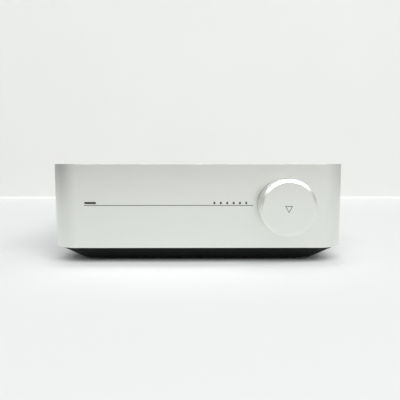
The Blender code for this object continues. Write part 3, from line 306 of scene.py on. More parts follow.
def grid_faces(rows, columns, wrap_rows):
    """Four corners for each cell of a grid whose columns run round and close."""
    row = np.arange(rows if wrap_rows else rows - 1)[:, None]
    column = np.arange(columns)[None, :]
    beside = (column + 1) % columns
    above = (row + 1) % rows
    lower, upper = row * columns, above * columns
    cells = [lower + column, lower + beside, upper + beside, upper + column]
    return np.stack(cells, axis=-1).reshape(-1, 4)


def carried(points, at, way, ring):
    """Rows of points turned and moved to their place, with a face for each cell between them.

    A ring joins its last row to its first. Otherwise each end shrinks to its middle and is closed.
    """
    if not ring:
        first = np.broadcast_to(points[0].mean(axis=0), points[:1].shape)
        last = np.broadcast_to(points[-1].mean(axis=0), points[:1].shape)
        points = np.concatenate([first, points, last])
    placed = points.reshape(-1, 3) @ np.asarray(way, float).T + np.asarray(at, float)
    return placed, grid_faces(*points.shape[:2], ring)


def stack(sections, at=(0, 0, 0), way=UP, ring=False):
    """Outlines carried to heights, with a face between neighbours."""
    rows = [np.column_stack([outline, np.full(len(outline), height)]) for outline, height in sections]
    return carried(np.array(rows), at, way, ring)


def prism(outline, low, high, at=(0, 0, 0), way=UP):
    """One outline carried straight from low to high."""
    return stack([(outline, low), (outline, high)], at, way)


def bevelled(size, corner, low, high, bevel, inset, end_corner, at):
    """A rounded block that stands out of the rear, its outer end drawn in over the depth of its bevel."""
    width, height = size
    side = rounded(width, height, corner)
    end = rounded(width - 2 * inset, height - 2 * inset, end_corner)
    return stack([(side, low), (side, high - bevel), (end, high)], at, REAR)


def turned(shape, at=(0, 0, 0), way=UP, sides=ROUND_SIDES, ring=False, swell=None):
    """A profile turned about its own axis: radius times cosine and sine, at the profile's height.

    swell, if given, adds a length to the radius for each profile point and angle.
    """
    turn = np.linspace(0, 2 * np.pi, sides, endpoint=False)
    radius = shape[:, 0][:, None] + (0 if swell is None else swell(shape, turn))
    radius = np.broadcast_to(radius, (len(shape), sides))
    height = np.broadcast_to(shape[:, 1][:, None], radius.shape)
    points = np.stack([radius * np.cos(turn), radius * np.sin(turn), height], axis=-1)
    return carried(points, at, way, ring)


def rod(radius, low, high, at=(0, 0, 0), way=UP, sides=SMALL_SIDES):
    """A straight round bar."""
    return turned(profile((radius, low), (radius, high)), at, way, sides)


def tube(inner, outer, low, high, at=(0, 0, 0), way=UP, sides=SMALL_SIDES):
    """A straight round pipe, closed at both ends."""
    wall = profile((inner, low), (outer, low), (outer, high), (inner, high))
    return turned(wall, at, way, sides, ring=True)


def row_of_boxes(count, pitch, size, at, way):
    """Small boxes side by side along the local x axis."""
    corner = np.array([[-1, -1], [1, -1], [1, 1], [-1, 1]]) / 2 * size[:2]
    step = (np.arange(count) - (count - 1) / 2) * pitch
    return [prism(corner + (offset, 0), 0, size[2], at, way) for offset in step]


# Meshes

def add_object(name, data):
    """A new object at the origin, linked to the scene."""
    item = bpy.data.objects.new(name, data)
    bpy.context.scene.collection.objects.link(item)
    return item


def mesh_of(name, surfaces):
    """One mesh from several surfaces, with poles and seams merged and faces turned outwards."""
    starts = np.cumsum([0] + [len(points) for points, _ in surfaces[:-1]])
    points = np.concatenate([points for points, _ in surfaces])
    faces = np.concatenate([corners + start for (_, corners), start in zip(surfaces, starts)])
    mesh = bpy.data.meshes.new(name)
    mesh.from_pydata(points.tolist(), [], faces.tolist())
    work = bmesh.new()
    work.from_mesh(mesh)
    bmesh.ops.remove_doubles(work, verts=work.verts, dist=MERGE_DISTANCE)
    bmesh.ops.dissolve_degenerate(work, edges=work.edges, dist=MERGE_DISTANCE)
    bmesh.ops.recalc_face_normals(work, faces=work.faces)
    work.to_mesh(mesh)
    work.free()
    return mesh


def carve(item, surfaces):
    """Cuts closed surfaces out of an object and keeps the result as its mesh."""
    cutter = add_object("cutter", mesh_of("cutter", surfaces))
    step = item.modifiers.new("carve", "BOOLEAN")
    step.operation = "DIFFERENCE"
    step.solver = "EXACT"
    step.object = cutter
    graph = bpy.context.evaluated_depsgraph_get()
    carved = bpy.data.meshes.new_from_object(item.evaluated_get(graph))
    if not carved.polygons:
        raise RuntimeError(f"nothing is left of {item.name} after its cut")
    item.modifiers.clear()
    spent = (item.data, cutter.data)
    item.data = carved
    carved.name = item.name
    bpy.data.objects.remove(cutter)
    for mesh in spent:
        bpy.data.meshes.remove(mesh)


def piece(name, surfaces, kind, body="chassis", nodes=(), cuts=(), slot=True):
    """A finished piece: mesh, cuts, even shading, finish, the body it rides on and what it stands for.

    kind names its finish. slot is not used.
    """
    item = add_object(name, mesh_of(name, surfaces))
    for cutters in cuts:
        carve(item, cutters)
    item.data.shade_smooth()
    item.data.set_sharp_from_angle(angle=SHARP_ANGLE)
    shading = item.modifiers.new("even_shading", "WEIGHTED_NORMAL")
    shading.keep_sharp = True
    item.data.materials.clear()
    item.data.materials.append(finish(kind))
    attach(item, body)
    if nodes:
        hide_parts(*nodes)


# Places and sizes of packed nodes

def middle_of(node):
    """Middle of a packed node's box."""
    low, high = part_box(node)
    return np.array((low + high) / 2)


def on_level(node, y):
    """Middle of a packed node's box, moved to a given y."""
    return middle_of(node) * (1, 0, 1) + (0, y, 0)


def on_panel(node):
    """Middle of a packed node's box, moved to the rear panel's outer face."""
    return on_level(node, PANEL_HIGH.y)


def rear_face(node):
    """Middle of the rearmost side of a packed node's box."""
    return on_level(node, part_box(node)[1].y)


def span_of(node, level):
    """Where a packed node starts and ends along y, measured from a level."""
    low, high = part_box(node)
    return low.y - level, high.y - level


def size_of(node):
    """Width, depth and height of a packed node's box."""
    low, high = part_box(node)
    return high - low


def round_radius(span, sides):
    """Radius of a packed round solid, whose box lies across the flats of its many sides."""
    return span / 2 / math.cos(math.pi / sides)


# Finishes

# Detail of grain and clouds, size of a cloud in grains and its share of the mottling
GRAIN_DETAIL = 3.0
CLOUD_DETAIL = 4.0
CLOUD_GRAINS = 100
CLOUD_SHARE = 0.6

# Relief of tracks and stripes against the grain, and the soft edge of a stripe
TRACK_RELIEF = 2.0
STRIPE_RELIEF = 1.5
STRIPE_EDGE = (0.45, 0.60)


def math_method(operation, swapped=False):
    """A method that adds a Math node for two values."""
    def method(self, other):
        first, second = (other, self) if swapped else (self, other)
        return self.recipe.node("ShaderNodeMath", {"operation": operation}, {0: first, 1: second})
    return method


class Value:
    """A shader value. A sum, difference or product of values adds a Math node."""

    def __init__(self, recipe, socket):
        self.recipe = recipe
        self.socket = socket

    __add__ = __radd__ = math_method("ADD")
    __rsub__ = math_method("SUBTRACT", swapped=True)
    __mul__ = __rmul__ = math_method("MULTIPLY")


class Recipe:
    """Adds nodes to one tree and hands back their outputs as values."""

    def __init__(self, tree):
        self.tree = tree
        tree.nodes.clear()

    def node(self, kind, settings=None, sockets=None, out=0):
        """A node of any kind: its settings first, then the values or links of its sockets."""
        made = self.tree.nodes.new(kind)
        for name, value in (settings or {}).items():
            setattr(made, name, value)
        for name, value in (sockets or {}).items():
            if isinstance(value, Value):
                self.tree.links.new(value.socket, made.inputs[name])
            else:
                made.inputs[name].default_value = value
        return Value(self, made.outputs[out]) if made.outputs else None

    def noise(self, where, scale, detail):
        """Soft noise between zero and one."""
        return self.node("ShaderNodeTexNoise", None, {"Vector": where, "Scale": scale, "Detail": detail})

    def blend(self, share, first, second):
        """A colour between two others."""
        return self.node("ShaderNodeMix", {"data_type": "RGBA"}, {0: share, 6: first, 7: second}, 2)

    def ramp(self, value, low, high):
        """Zero up to low and one from high on, straight between."""
        sockets = {"Value": value, "From Min": low, "From Max": high}
        return self.node("ShaderNodeMapRange", {"clamp": True}, sockets)

    def part(self, where, axis):
        """One coordinate of a position or direction."""
        return self.node("ShaderNodeSeparateXYZ", None, {"Vector": where}, axis)

    def surface(self, sockets):
        """Ends a material's tree with a Principled shader."""
        shader = self.node("ShaderNodeBsdfPrincipled", None, sockets)
        self.node("ShaderNodeOutputMaterial", None, {"Surface": shader})


def new_material(name):
    """An empty material and the recipe that fills it."""
    material = bpy.data.materials.new(name)
    material.use_nodes = True
    return material, Recipe(material.node_tree)


def shade(tint, factor):
    """A colour made lighter or darker, with full opacity."""
    return (*(min(1.0, part * factor) for part in tint), 1.0)


def new_finish(name, tint, roughness, metallic=0.0, grain=0.0003, grain_depth=4e-6, mottle=0.04,
               spread=0.06, specular=0.5, coat=0.0, pattern=None):
    """A procedural material with grain, soft mottling of its colour and uneven gloss.

    grain is the size of its finest marks and grain_depth their height. mottle and spread say how much
    colour and roughness vary. pattern, if given, returns another colour, where it shows and its relief.
    """
    material, recipe = new_material(name)
    where = recipe.node("ShaderNodeTexCoord", out="Object")
    fine = recipe.noise(where, 1 / grain, GRAIN_DETAIL)
    cloud = recipe.noise(where, 1 / (grain * CLOUD_GRAINS), CLOUD_DETAIL)
    mixed = CLOUD_SHARE * cloud + (1 - CLOUD_SHARE) * fine
    tone = recipe.blend(mixed, shade(tint, 1 - mottle), shade(tint, 1 + mottle))
    height = fine
    if pattern is not None:
        other, share, relief = pattern(recipe, where)
        tone = recipe.blend(share, tone, other)
        height = fine + relief * share
    bump = {"Height": height, "Distance": grain_depth, "Strength": 1.0}
    recipe.surface({
        "Base Color": tone,
        "Roughness": roughness - spread / 2 + spread * (0.5 * cloud + 0.5 * fine),
        "Metallic": metallic,
        "Specular IOR Level": specular,
        "Coat Weight": coat,
        "Normal": recipe.node("ShaderNodeBump", None, bump),
    })
    return material


def board_tracks(tint):
    """Raised tracks under a board's lacquer: edges of a stepped brick pattern."""
    black, white = (0, 0, 0, 1), (1, 1, 1, 1)
    settings = {"offset": 0.37, "squash": 0.7, "squash_frequency": 3}
    sockets = {"Scale": 220.0, "Mortar Size": 0.06, "Mortar Smooth": 0.2,
               "Color1": black, "Color2": black, "Mortar": white}

    def pattern(recipe, where):
        tracks = recipe.node("ShaderNodeTexBrick", settings, {"Vector": where, **sockets}, "Fac")
        return shade(tint, 1.0), tracks, TRACK_RELIEF
    return pattern


def stripes(tint, scale, direction):
    """Even stripes across one axis."""
    settings = {"wave_type": "BANDS", "bands_direction": direction, "wave_profile": "SIN"}

    def pattern(recipe, where):
        band = recipe.node("ShaderNodeTexWave", settings, {"Vector": where, "Scale": scale})
        return shade(tint, 1.0), recipe.ramp(band, *STRIPE_EDGE), STRIPE_RELIEF
    return pattern


def make_finishes(colours):
    """Every finish of the receiver, by the name of its material slot or use."""
    anodised = {"metallic": 1.0, "grain": 0.00022, "grain_depth": 5e-6, "mottle": 0.018, "spread": 0.08}
    metal = {"metallic": 1.0, "grain": 0.0002, "grain_depth": 2e-6, "mottle": 0.05, "spread": 0.10}
    finned = metal | {"pattern": stripes(colours.steel, 260.0, "Z")}
    moulded = {"grain": 0.00028, "grain_depth": 9e-6, "mottle": 0.10, "spread": 0.10}
    painted = {"grain": 0.0006, "grain_depth": 2.2e-5, "mottle": 0.12, "spread": 0.12}
    rubbery = {"grain": 0.0005, "grain_depth": 2e-5, "mottle": 0.2, "spread": 0.1}
    polished = {"grain": 0.0008, "grain_depth": 1e-6, "mottle": 0.05, "spread": 0.04, "coat": 0.4}
    wound = {"grain": 0.0009, "mottle": 0.12, "pattern": stripes(colours.plastic, 30.0, "Z")}
    printed = {"grain": 0.0009, "mottle": 0.12, "pattern": board_tracks(colours.copper)}
    ribbon = {"grain": 0.0008, "pattern": stripes(colours.steel, 320.0, "X")}
    kinds = {
        "anodised_aluminium": (colours.aluminium, 0.29, anodised),
        "heatsink_aluminium": (colours.bare_aluminium, 0.38, finned),
        "base_plastic": (colours.base, 0.50, moulded | {"specular": 0.05}),
        "panel_paint": (colours.panel, 0.50, painted),
        "foot_rubber": (colours.rubber, 0.82, rubbery),
        "screw_steel": (colours.steel, 0.30, metal),
        "encoder_steel": (colours.steel, 0.36, metal),
        "shield_steel": (colours.steel, 0.33, metal),
        "inner_plastic": (colours.plastic, 0.50, moulded),
        "socket_plastic": (colours.plastic, 0.42, moulded),
        "lens_plastic": (colours.lens, 0.16, polished),
        "mark_lacquer": (colours.lacquer, 0.55, {"grain": 0.0002, "mottle": 0.08}),
        "led_plastic": (colours.led, 0.35, {"grain": 0.0008, "mottle": 0.06}),
        "board_laminate": (colours.laminate, 0.38, printed),
        "ribbon_film": (colours.film, 0.40, ribbon),
        "transformer_core": (colours.core, 0.45, wound),
        "gold_contact": (colours.gold, 0.24, metal),
        "terminal_red": (colours.red, 0.34, moulded),
        "terminal_black": (colours.plastic, 0.36, moulded),
        "phono_red": (colours.red, 0.40, moulded),
        "phono_white": (colours.white, 0.40, moulded),
        "port_light": (colours.amber, 0.25, {"grain": 0.0006, "mottle": 0.08, "coat": 0.3}),
    }
    return {name: new_finish(name, tint, roughness, **more)
            for name, (tint, roughness, more) in kinds.items()}


FINISHES = {}


def finish(name):
    """A finish made earlier by the finishes operator."""
    if name not in FINISHES:
        raise RuntimeError(f"no finish named {name}: make the finishes first")
    return FINISHES[name]


# Pieces of the body

# Rise of the base's lower edge as a share of its width, and where and how finely the flare goes on
BASE_EDGE_RISE = 0.25
FLARE_START = 1 / 3
FLARE_LEVELS = 4

# Dished middle and flat ring of a foot, as shares of its radius
FOOT_DISH_SHARE = 0.55
FOOT_FLAT_SHARE = 0.75


def body_outline(sizes, inset, radius=None):
    """The housing's plan outline moved inwards, its corners rounded to what is left of their radius."""
    width, depth, _ = size_of("housing")
    radius = sizes.corner_radius - inset if radius is None else radius
    return rounded(width - 2 * inset, depth - 2 * inset, radius, CORNER_STEPS)


def foot_places():
    """Middle of each foot in plan, on z = 0."""
    return {corner: middle_of(f"foot_{corner}") * (1, 1, 0) for corner in CORNERS}


def foot_radius():
    """Radius of a foot."""
    return round_radius(size_of("foot_front_left").x, CAD_SMALL_SIDES)


def rear_screw_places():
    """Middle of each panel screw on the panel's outer face."""
    return {name: on_panel(f"rear_screw_{name}") for name in REAR_SCREWS}


def on_front(x, z):
    """A point on the housing's front."""
    return (x, HOUSING_LOW.y, z)


def knob_axis():
    """Where the knob's axis meets the front wall."""
    middle = middle_of("knob_cap")
    return on_front(middle[0], middle[2])


def build_housing(body, front, rear):
    """The housing: an edge profile carried round its plan outline, then every cut-out."""
    low, high = HOUSING_LOW.z, HOUSING_HIGH.z
    ceiling = high - body.top_thickness
    rim = arc(-body.rim_edge, low + body.rim_edge, body.rim_edge, -90, 0)
    top = arc(-body.top_edge, high - body.top_edge, body.top_edge, 0, 90)
    edges = profile((-body.wall, ceiling), (-body.wall, low), rim, top)
    shell = stack([(body_outline(body, -inset), height) for inset, height in edges])
    columns = [tube(body.pilot_radius, body.column_radius, body.column_low, ceiling, at)
               for at in foot_places().values()]
    window_x, _, mark_z = middle_of("status_window")
    line_at = on_front((front.line_left + front.line_right) / 2, mark_z - front.mark_rise)
    line = rounded(front.line_right - front.line_left, front.line_height, front.line_height / 4)
    slot = rounded(front.window_width, front.window_height, front.window_corner)
    dots = front.dot_first + front.dot_pitch * np.arange(front.dot_count)
    through = -body.wall - PAST
    marks = [
        prism(line, -front.line_depth, PAST, line_at, FRONT),
        prism(slot, through, PAST, on_front(window_x, mark_z), FRONT),
        rod(front.shaft_hole, through, PAST, knob_axis(), FRONT),
    ]
    marks += [rod(front.dot_radius, through, PAST, on_front(x, mark_z), FRONT) for x in dots]
    panel = on_panel("rear_panel")
    width, thickness, height = size_of("rear_panel")
    gap, corner, ledge = body.seat_gap, rear.panel_corner, rear.panel_ledge
    rebate = rounded(width + 2 * gap, height + 2 * gap, corner + gap)
    opening = rounded(width - 2 * ledge, height - 2 * ledge, corner)
    pilots = [rod(rear.screw_shank + gap, through, PAST, at, REAR) for at in rear_screw_places().values()]
    cuts = [
        marks,
        [prism(rebate, -thickness - gap, PAST, panel, REAR)],
        [prism(opening, through, PAST, panel, REAR)],
        pilots,
    ]
    piece("housing_shell", [shell], "anodised_aluminium", nodes=["housing"], cuts=cuts)
    piece("housing_columns", columns, "anodised_aluminium")
    fill = prism(line, -front.line_depth, front.line_fill - front.line_depth, line_at, FRONT)
    piece("front_line", [fill], "mark_lacquer", slot=False)


def build_base(body):
    """The base: a flared side from a small outline to a large one, a shoulder, a spigot and a floor."""
    low, shoulder, top = BASE_LOW.z, body.base_shoulder, BASE_HIGH.z
    floor, edge, radius = low + body.base_floor, body.base_bottom_edge, body.base_bottom_radius
    levels = (low, shoulder)
    insets = (body.base_bottom_inset, body.base_top_inset)
    radii = (radius, body.corner_radius - body.base_top_inset)
    share = np.linspace(0, 1, EDGE_STEPS + 1)
    lower_edge = zip(body.base_bottom_inset + edge * (1 - share), low + edge * BASE_EDGE_RISE * share**2)
    sections = [(body_outline(body, inset, radius), height) for inset, height in lower_edge]
    for height in np.linspace(low + edge * FLARE_START, shoulder, FLARE_LEVELS):
        inset = np.interp(height, levels, insets)
        sections.append((body_outline(body, inset, np.interp(height, levels, radii)), height))
    spigot = body_outline(body, body.wall + body.seat_gap)
    inner = body_outline(body, body.base_top_inset + body.base_skin)
    bottom = body_outline(body, np.interp(floor, levels, insets) + body.base_skin, radius)
    sections += [(spigot, shoulder), (spigot, top), (inner, top), (inner, shoulder), (bottom, floor)]
    places = foot_places().values()
    foot, recess = foot_radius() + body.seat_gap, low + body.foot_recess
    well = profile(
        (foot, low - PAST), (foot, recess), (body.screw_well, recess), (body.screw_well, body.screw_seat),
        (body.pilot_radius, body.screw_seat), (body.pilot_radius, floor + PAST))
    wells = [turned(well, at, UP, SMALL_SIDES * 2) for at in places]
    piece("base_shell", [stack(sections)], "base_plastic", nodes=["base_tray"], cuts=[wells])
    tubes = [tube(body.screw_well, body.tube_radius, floor, body.tube_top, at) for at in places]
    piece("base_tubes", tubes, "base_plastic")


def build_feet(body):
    """Four rubber pads: a disc with a rounded edge and a dished middle."""
    radius, edge = foot_radius(), body.foot_edge
    dish = np.linspace(0, 1, EDGE_STEPS + 1)
    hollow = np.stack([radius * FOOT_DISH_SHARE * dish, body.foot_dish * (1 - dish**2)], axis=1)
    shape = profile(
        hollow, (radius * FOOT_FLAT_SHARE, 0), arc(radius - edge, edge, edge, -90, 0),
        (radius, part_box("foot_front_left")[1].z))
    for corner, at in foot_places().items():
        piece(f"foot_pad_{corner}", [turned(shape, at, UP)], "foot_rubber", nodes=[f"foot_{corner}"])


def build_knob(front):
    """The knob: a turned cap with a bevelled face edge, and a lacquered triangle let into its face."""
    axis = knob_axis()
    radius = round_radius(size_of("knob_cap").z, CAD_ROUND_SIDES)
    proud, gap = HOUSING_LOW.y - KNOB_LOW.y, HOUSING_LOW.y - KNOB_HIGH.y
    ceiling, cavity = proud - front.knob_face, radius - front.knob_wall
    heel, soft = front.knob_heel, front.bevel_soft
    shoulder, rim = proud - front.bevel_depth, radius - front.bevel_width
    shape = profile(
        (cavity, ceiling), (cavity, gap), (radius - heel, gap), (radius, gap + heel),
        (radius, shoulder - soft), (radius - soft / 2, shoulder),
        (rim + soft, proud - soft / 2), (rim - soft, proud))
    at = (axis[0], axis[1], axis[2] - front.triangle_drop)
    outer = triangle(front.triangle_width, front.triangle_height)
    inner = triangle(front.triangle_width, front.triangle_height, front.triangle_stroke)
    floor = proud - front.triangle_depth

    def frame_to(top):
        """A three-sided frame that stands on the groove's floor."""
        return stack([(inner, floor), (outer, floor), (outer, top), (inner, top)], at, FRONT, ring=True)

    cap = turned(shape, axis, FRONT, ROUND_SIDES * 2)
    groove, fill = frame_to(proud + PAST), frame_to(floor + front.triangle_fill)
    piece("knob_shell", [cap], "anodised_aluminium", "volume_knob", ["knob_cap"], [[groove]])
    piece("knob_triangle", [fill], "mark_lacquer", "volume_knob", slot=False)


# Pieces of the rear

# Panel screws and terminals
SCREW_DOME_SHARE = 0.55
PLATE_BEVEL = 0.0004
CAP_NECK_SHARE = 0.16
FLUTE_ROWS = 8
FLUTE_POINTS = 10
FLUTE_START = 0.0008
FLUTE_END = 0.001
BORE_CHAMFER = 0.0007
BORE_WEB = 0.0003
SLEEVE_REACH = 0.0015
TAIL_RADIUS = 0.0014
FLANGE_THICKNESS = 0.0015
STUD_CHAMFER = 0.0003

# Phono sockets: edges of the barrel, the insulator's seat and pin hole, and the sprung contact
PHONO_EDGE = 0.0004
PHONO_LIP = 0.0001
PHONO_SEAT = 0.0001
PHONO_CHAMFER = 0.0003
PHONO_LEAF = 0.0003
PHONO_SETBACK = 0.002

# Sockets with a tongue: flare of the shell, and the contact strips
SHELL_FLARE = 0.0003
STRIP_WIDTH_SHARE = 0.55
STRIP_LENGTH_SHARE = 0.8
STRIP_THICKNESS = 0.00018
STRIP_START = 0.0004
SPARE_PITCH = 0.5
HDMI_CONTACTS = 10
HDMI_CHAMFER = 0.0012
USB_CONTACTS = 4
USB_CHAMFER = 0.0001

# Network socket: half sizes of its mouth and latch step, then contacts and lights
NETWORK_CORNER = 0.0004
NETWORK_MOUTH = (0.0059, 0.0036)
NETWORK_LATCH = (0.003, 0.002)
NETWORK_POCKET = 0.013
NETWORK_CONTACTS = 8
NETWORK_PITCH = 0.00102
NETWORK_WIRE = (0.0005, 0.0003, 0.0085)
NETWORK_WIRE_ROOT = 0.0125
NETWORK_WIRE_DROP = 0.0016
LIGHT_SIZE = (0.0024, 0.0016)
LIGHT_CORNER = 0.0004
LIGHT_SUNK = 0.0002
LIGHT_PROUD = 0.00005
LIGHT_SIDE = 0.0052
LIGHT_DROP = 0.0052

# Optical socket: its case, its mouth and the raised square of its shutter
OPTICAL_CORNER = 0.0006
OPTICAL_MOUTH = 0.008
OPTICAL_MOUTH_CORNER = 0.0003
OPTICAL_POCKET = 0.010
SHUTTER_STEP_SHARE = 0.6
SHUTTER_STEP = 0.0012
SHUTTER_TOP = 0.0016

# Mains inlet: how much its body is smaller than its flange, then bevel, mouth and pins
INLET_STEP = (0.003, 0.0035)
INLET_BEVEL = 0.0005
INLET_MOUTH = (0.016, 0.0086)
INLET_POCKET = 0.0125
PIN_RADIUS = 0.0012
PIN_LENGTH = 0.008
PIN_ROUND = 0.001
PIN_SIDE = 0.0043


def build_rear_panel(body, rear):
    """The rear panel: a rounded plate with a hole for each socket and screw, and its cross-head screws."""
    width, thickness, height = size_of("rear_panel")
    plate = prism(rounded(width, height, rear.panel_corner), -thickness, 0, on_panel("rear_panel"), REAR)
    gap, low = body.seat_gap, -thickness - PAST

    def hole(node, outline):
        return prism(outline, low, PAST, on_panel(node), REAR)

    def square_hole(node):
        wide, _, tall = size_of(node)
        return hole(node, rounded(wide + 2 * gap, tall + 2 * gap, gap))

    def round_hole(node, radius, sides=SMALL_SIDES * 2):
        return rod(radius + gap, low, PAST, on_panel(node), REAR, sides)

    wide, tall = inlet_body()
    holes = [square_hole(node) for node in ("hdmi_port", "usb_port", "ethernet_port", "optical_jack")]
    holes += [round_hole(node, rear.phono_radius) for node in ("line_in_left", "line_in_right", "sub_out")]
    holes += [round_hole(f"terminal_stud_{name}", rear.stud_radius) for name in TERMINALS]
    holes += [hole("power_inlet", rounded(wide + 2 * gap, tall + 2 * gap, rear.inlet_corner + gap))]
    holes += [round_hole(f"rear_screw_{name}", rear.screw_shank, SMALL_SIDES) for name in REAR_SCREWS]
    piece("rear_plate", [plate], "panel_paint", nodes=["rear_panel"], cuts=[holes])
    for name, at in rear_screw_places().items():
        build_panel_screw(name, at, rear, gap)


def build_panel_screw(name, at, rear, gap):
    """One panel screw: a turned shank and domed head, with the two slots of its cross cut in turn."""
    node = f"rear_screw_{name}"
    head = round_radius(size_of(node).x, CAD_SMALL_SIDES)
    tip, top = span_of(node, PANEL_HIGH.y)
    dome = np.linspace(1, 0, EDGE_STEPS + 1)
    crown = np.stack([head * dome, top - (top - gap) * SCREW_DOME_SHARE * dome**2], axis=1)
    shape = profile((rear.screw_shank, tip), (rear.screw_shank, gap), (head, gap), crown)
    reach, width = 2 * rear.cross_reach, rear.cross_width
    slots = [[prism(rounded(*size, width / 4), top - rear.cross_depth, top + PAST, at, REAR)]
             for size in ((reach, width), (width, reach))]
    screw = turned(shape, at, REAR, SMALL_SIDES)
    piece(f"panel_screw_{name}", [screw], "screw_steel", nodes=[node], cuts=slots)


def inlet_body():
    """Width and height of the mains inlet's body behind its flange."""
    width, _, height = size_of("power_inlet")
    return width - INLET_STEP[0], height - INLET_STEP[1]


def build_terminals(body, rear):
    """Terminal plate, then for each terminal a bored stud, a sleeve and a fluted cap."""
    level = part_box("terminal_plate")[0].y
    width, thickness, height = size_of("terminal_plate")
    plate = bevelled(
        (width, height), rear.panel_corner, 0, thickness, PLATE_BEVEL, PLATE_BEVEL,
        rear.panel_corner - PLATE_BEVEL, on_level("terminal_plate", level))
    holes = [rod(rear.stud_radius + body.seat_gap, -PAST, thickness + PAST,
                 on_level(f"terminal_stud_{name}", level), REAR) for name in TERMINALS]
    piece("terminal_base", [plate], "inner_plastic", nodes=["terminal_plate"], cuts=[holes])
    for name in TERMINALS:
        build_terminal(name, rear, body.seat_gap)


def build_terminal(name, rear, gap):
    """One terminal: stud and sleeve are turned, and the cap's radius waves with the angle for its flutes."""
    cap, sleeve, stud = (f"terminal_{kind}_{name}" for kind in ("cap", "sleeve", "stud"))
    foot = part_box(cap)[0].y
    axis = on_level(cap, foot)
    _, cap_length, cap_width = size_of(cap)
    radius = round_radius(cap_width, CAD_ROUND_SIDES)
    edge, bore, plug = rear.cap_edge, rear.cap_bore, rear.banana_radius
    neck, end = cap_length * CAP_NECK_SHARE, cap_length - rear.cap_end
    rows = np.linspace(neck, cap_length - 2 * edge, FLUTE_ROWS)
    shape = profile(
        (bore, 0), (radius - edge, 0), (radius, edge),
        np.stack([np.full(FLUTE_ROWS, radius), rows], axis=1),
        arc(radius - edge, cap_length - edge, edge, 0, 90), (plug + BORE_CHAMFER, cap_length),
        (plug, cap_length - BORE_CHAMFER), (plug, end), (bore, end))

    def flutes(points, turn):
        height = points[:, 1]
        start = np.clip((height - neck) / FLUTE_START, 0, 1)
        finished = np.clip((cap_length - edge - height) / FLUTE_END, 0, 1)
        outside = (points[:, 0] > radius - edge / 2) * start * finished
        return -outside[:, None] * rear.flute_depth * (0.5 + 0.5 * np.cos(rear.flute_count * turn)) ** 2

    grip = turned(shape, axis, REAR, rear.flute_count * FLUTE_POINTS, True, flutes)
    kind = "terminal_red" if name.endswith("plus") else "terminal_black"
    piece(f"cap_{name}", [grip], kind, f"cap_{name}", [cap])
    thread = rear.stud_radius
    ring = tube(thread + gap, thread + SLEEVE_REACH, *span_of(sleeve, foot), axis, REAR, ROUND_SIDES)
    piece(f"sleeve_{name}", [ring], "gold_contact", f"sleeve_{name}", [sleeve])
    tail, top = span_of(stud, foot)
    flange_radius = round_radius(size_of(stud).x, CAD_ROUND_SIDES)
    flange = PANEL_LOW.y - foot - gap
    under = flange - FLANGE_THICKNESS
    floor = rear.wire_rise + rear.wire_hole + BORE_WEB
    pin = profile(
        (TAIL_RADIUS, tail), (TAIL_RADIUS, under), (flange_radius, under), (flange_radius, flange),
        (thread, flange), (thread, top - STUD_CHAMFER), (thread - STUD_CHAMFER, top),
        (plug, top), (plug, floor))
    wire = rod(rear.wire_hole, -flange_radius, flange_radius, axis + (0, rear.wire_rise, 0), SIDEWAYS)
    post = turned(pin, axis, REAR, SMALL_SIDES * 2)
    piece(f"stud_{name}", [post], "gold_contact", nodes=[stud], cuts=[[wire]])


def build_phono(name, kind, rear, gap):
    """A phono socket: plated barrel, coloured insulator with a pin hole, sprung contact and rear block."""
    at = on_panel(name)
    back, proud = span_of(name, PANEL_HIGH.y)
    block_radius = round_radius(size_of(name).z, CAD_ROUND_SIDES)
    block_top = PANEL_LOW.y - PANEL_HIGH.y - gap
    radius, lip, hole = rear.phono_radius, rear.phono_radius - rear.phono_wall, rear.phono_pin
    barrel = profile(
        (lip, block_top), (radius, block_top), (radius, proud - PHONO_EDGE), (radius - PHONO_EDGE, proud),
        (lip + PHONO_LIP, proud), (lip, proud - PHONO_LIP))
    piece(f"{name}_barrel", [turned(barrel, at, REAR, ring=True)], "gold_contact", nodes=[name])
    floor, face, seat = proud - rear.phono_depth, proud - rear.phono_wall, block_top - PHONO_SEAT
    core = profile(
        (block_radius, back), (block_radius, seat), (lip, seat), (lip, face),
        (hole + PHONO_CHAMFER, face), (hole, face - PHONO_CHAMFER), (hole, floor))
    piece(f"{name}_core", [turned(core, at, REAR)], kind, slot=False)
    leaf = tube(hole - PHONO_LEAF, hole, floor, face - PHONO_SETBACK, at, REAR)
    piece(f"{name}_contact", [leaf], "gold_contact", slot=False)


def build_tongue_socket(name, rear, contacts, chamfer):
    """A metal shell with a chamfered mouth, a pocket, and a tongue with a row of contacts."""
    width, depth, height = size_of(name)
    at, wall, root = rear_face(name), rear.shell_wall, -rear.pocket_depth
    case = bevelled((width, height), wall, -depth, 0, SHELL_FLARE, SHELL_FLARE / 2, wall, at)
    x, z = width / 2 - wall, height / 2 - wall
    mouth = np.array([
        (x, z), (-x, z), (-x, chamfer - z), (chamfer - x, -z), (x - chamfer, -z), (x, chamfer - z)])
    piece(f"{name}_shell", [case], "shield_steel", nodes=[name], cuts=[[prism(mouth, root, PAST, at, REAR)]])
    tongue_width, thick = 2 * x - 2 * rear.tongue_gap, rear.tongue_thickness
    nose = thick / 4
    tongue = bevelled(
        (tongue_width, thick), nose / 2, root, rear.tongue_length + root, nose, nose, nose / 4, at)
    piece(f"{name}_tongue", [tongue], "socket_plastic")
    pitch = tongue_width / (contacts + SPARE_PITCH)
    size = np.array((pitch * STRIP_WIDTH_SHARE, STRIP_THICKNESS, rear.tongue_length * STRIP_LENGTH_SHARE))
    above = at + (0, root + STRIP_START, thick / 2 + STRIP_THICKNESS / 2)
    piece(f"{name}_contacts", row_of_boxes(contacts, pitch, size, above, REAR), "gold_contact")


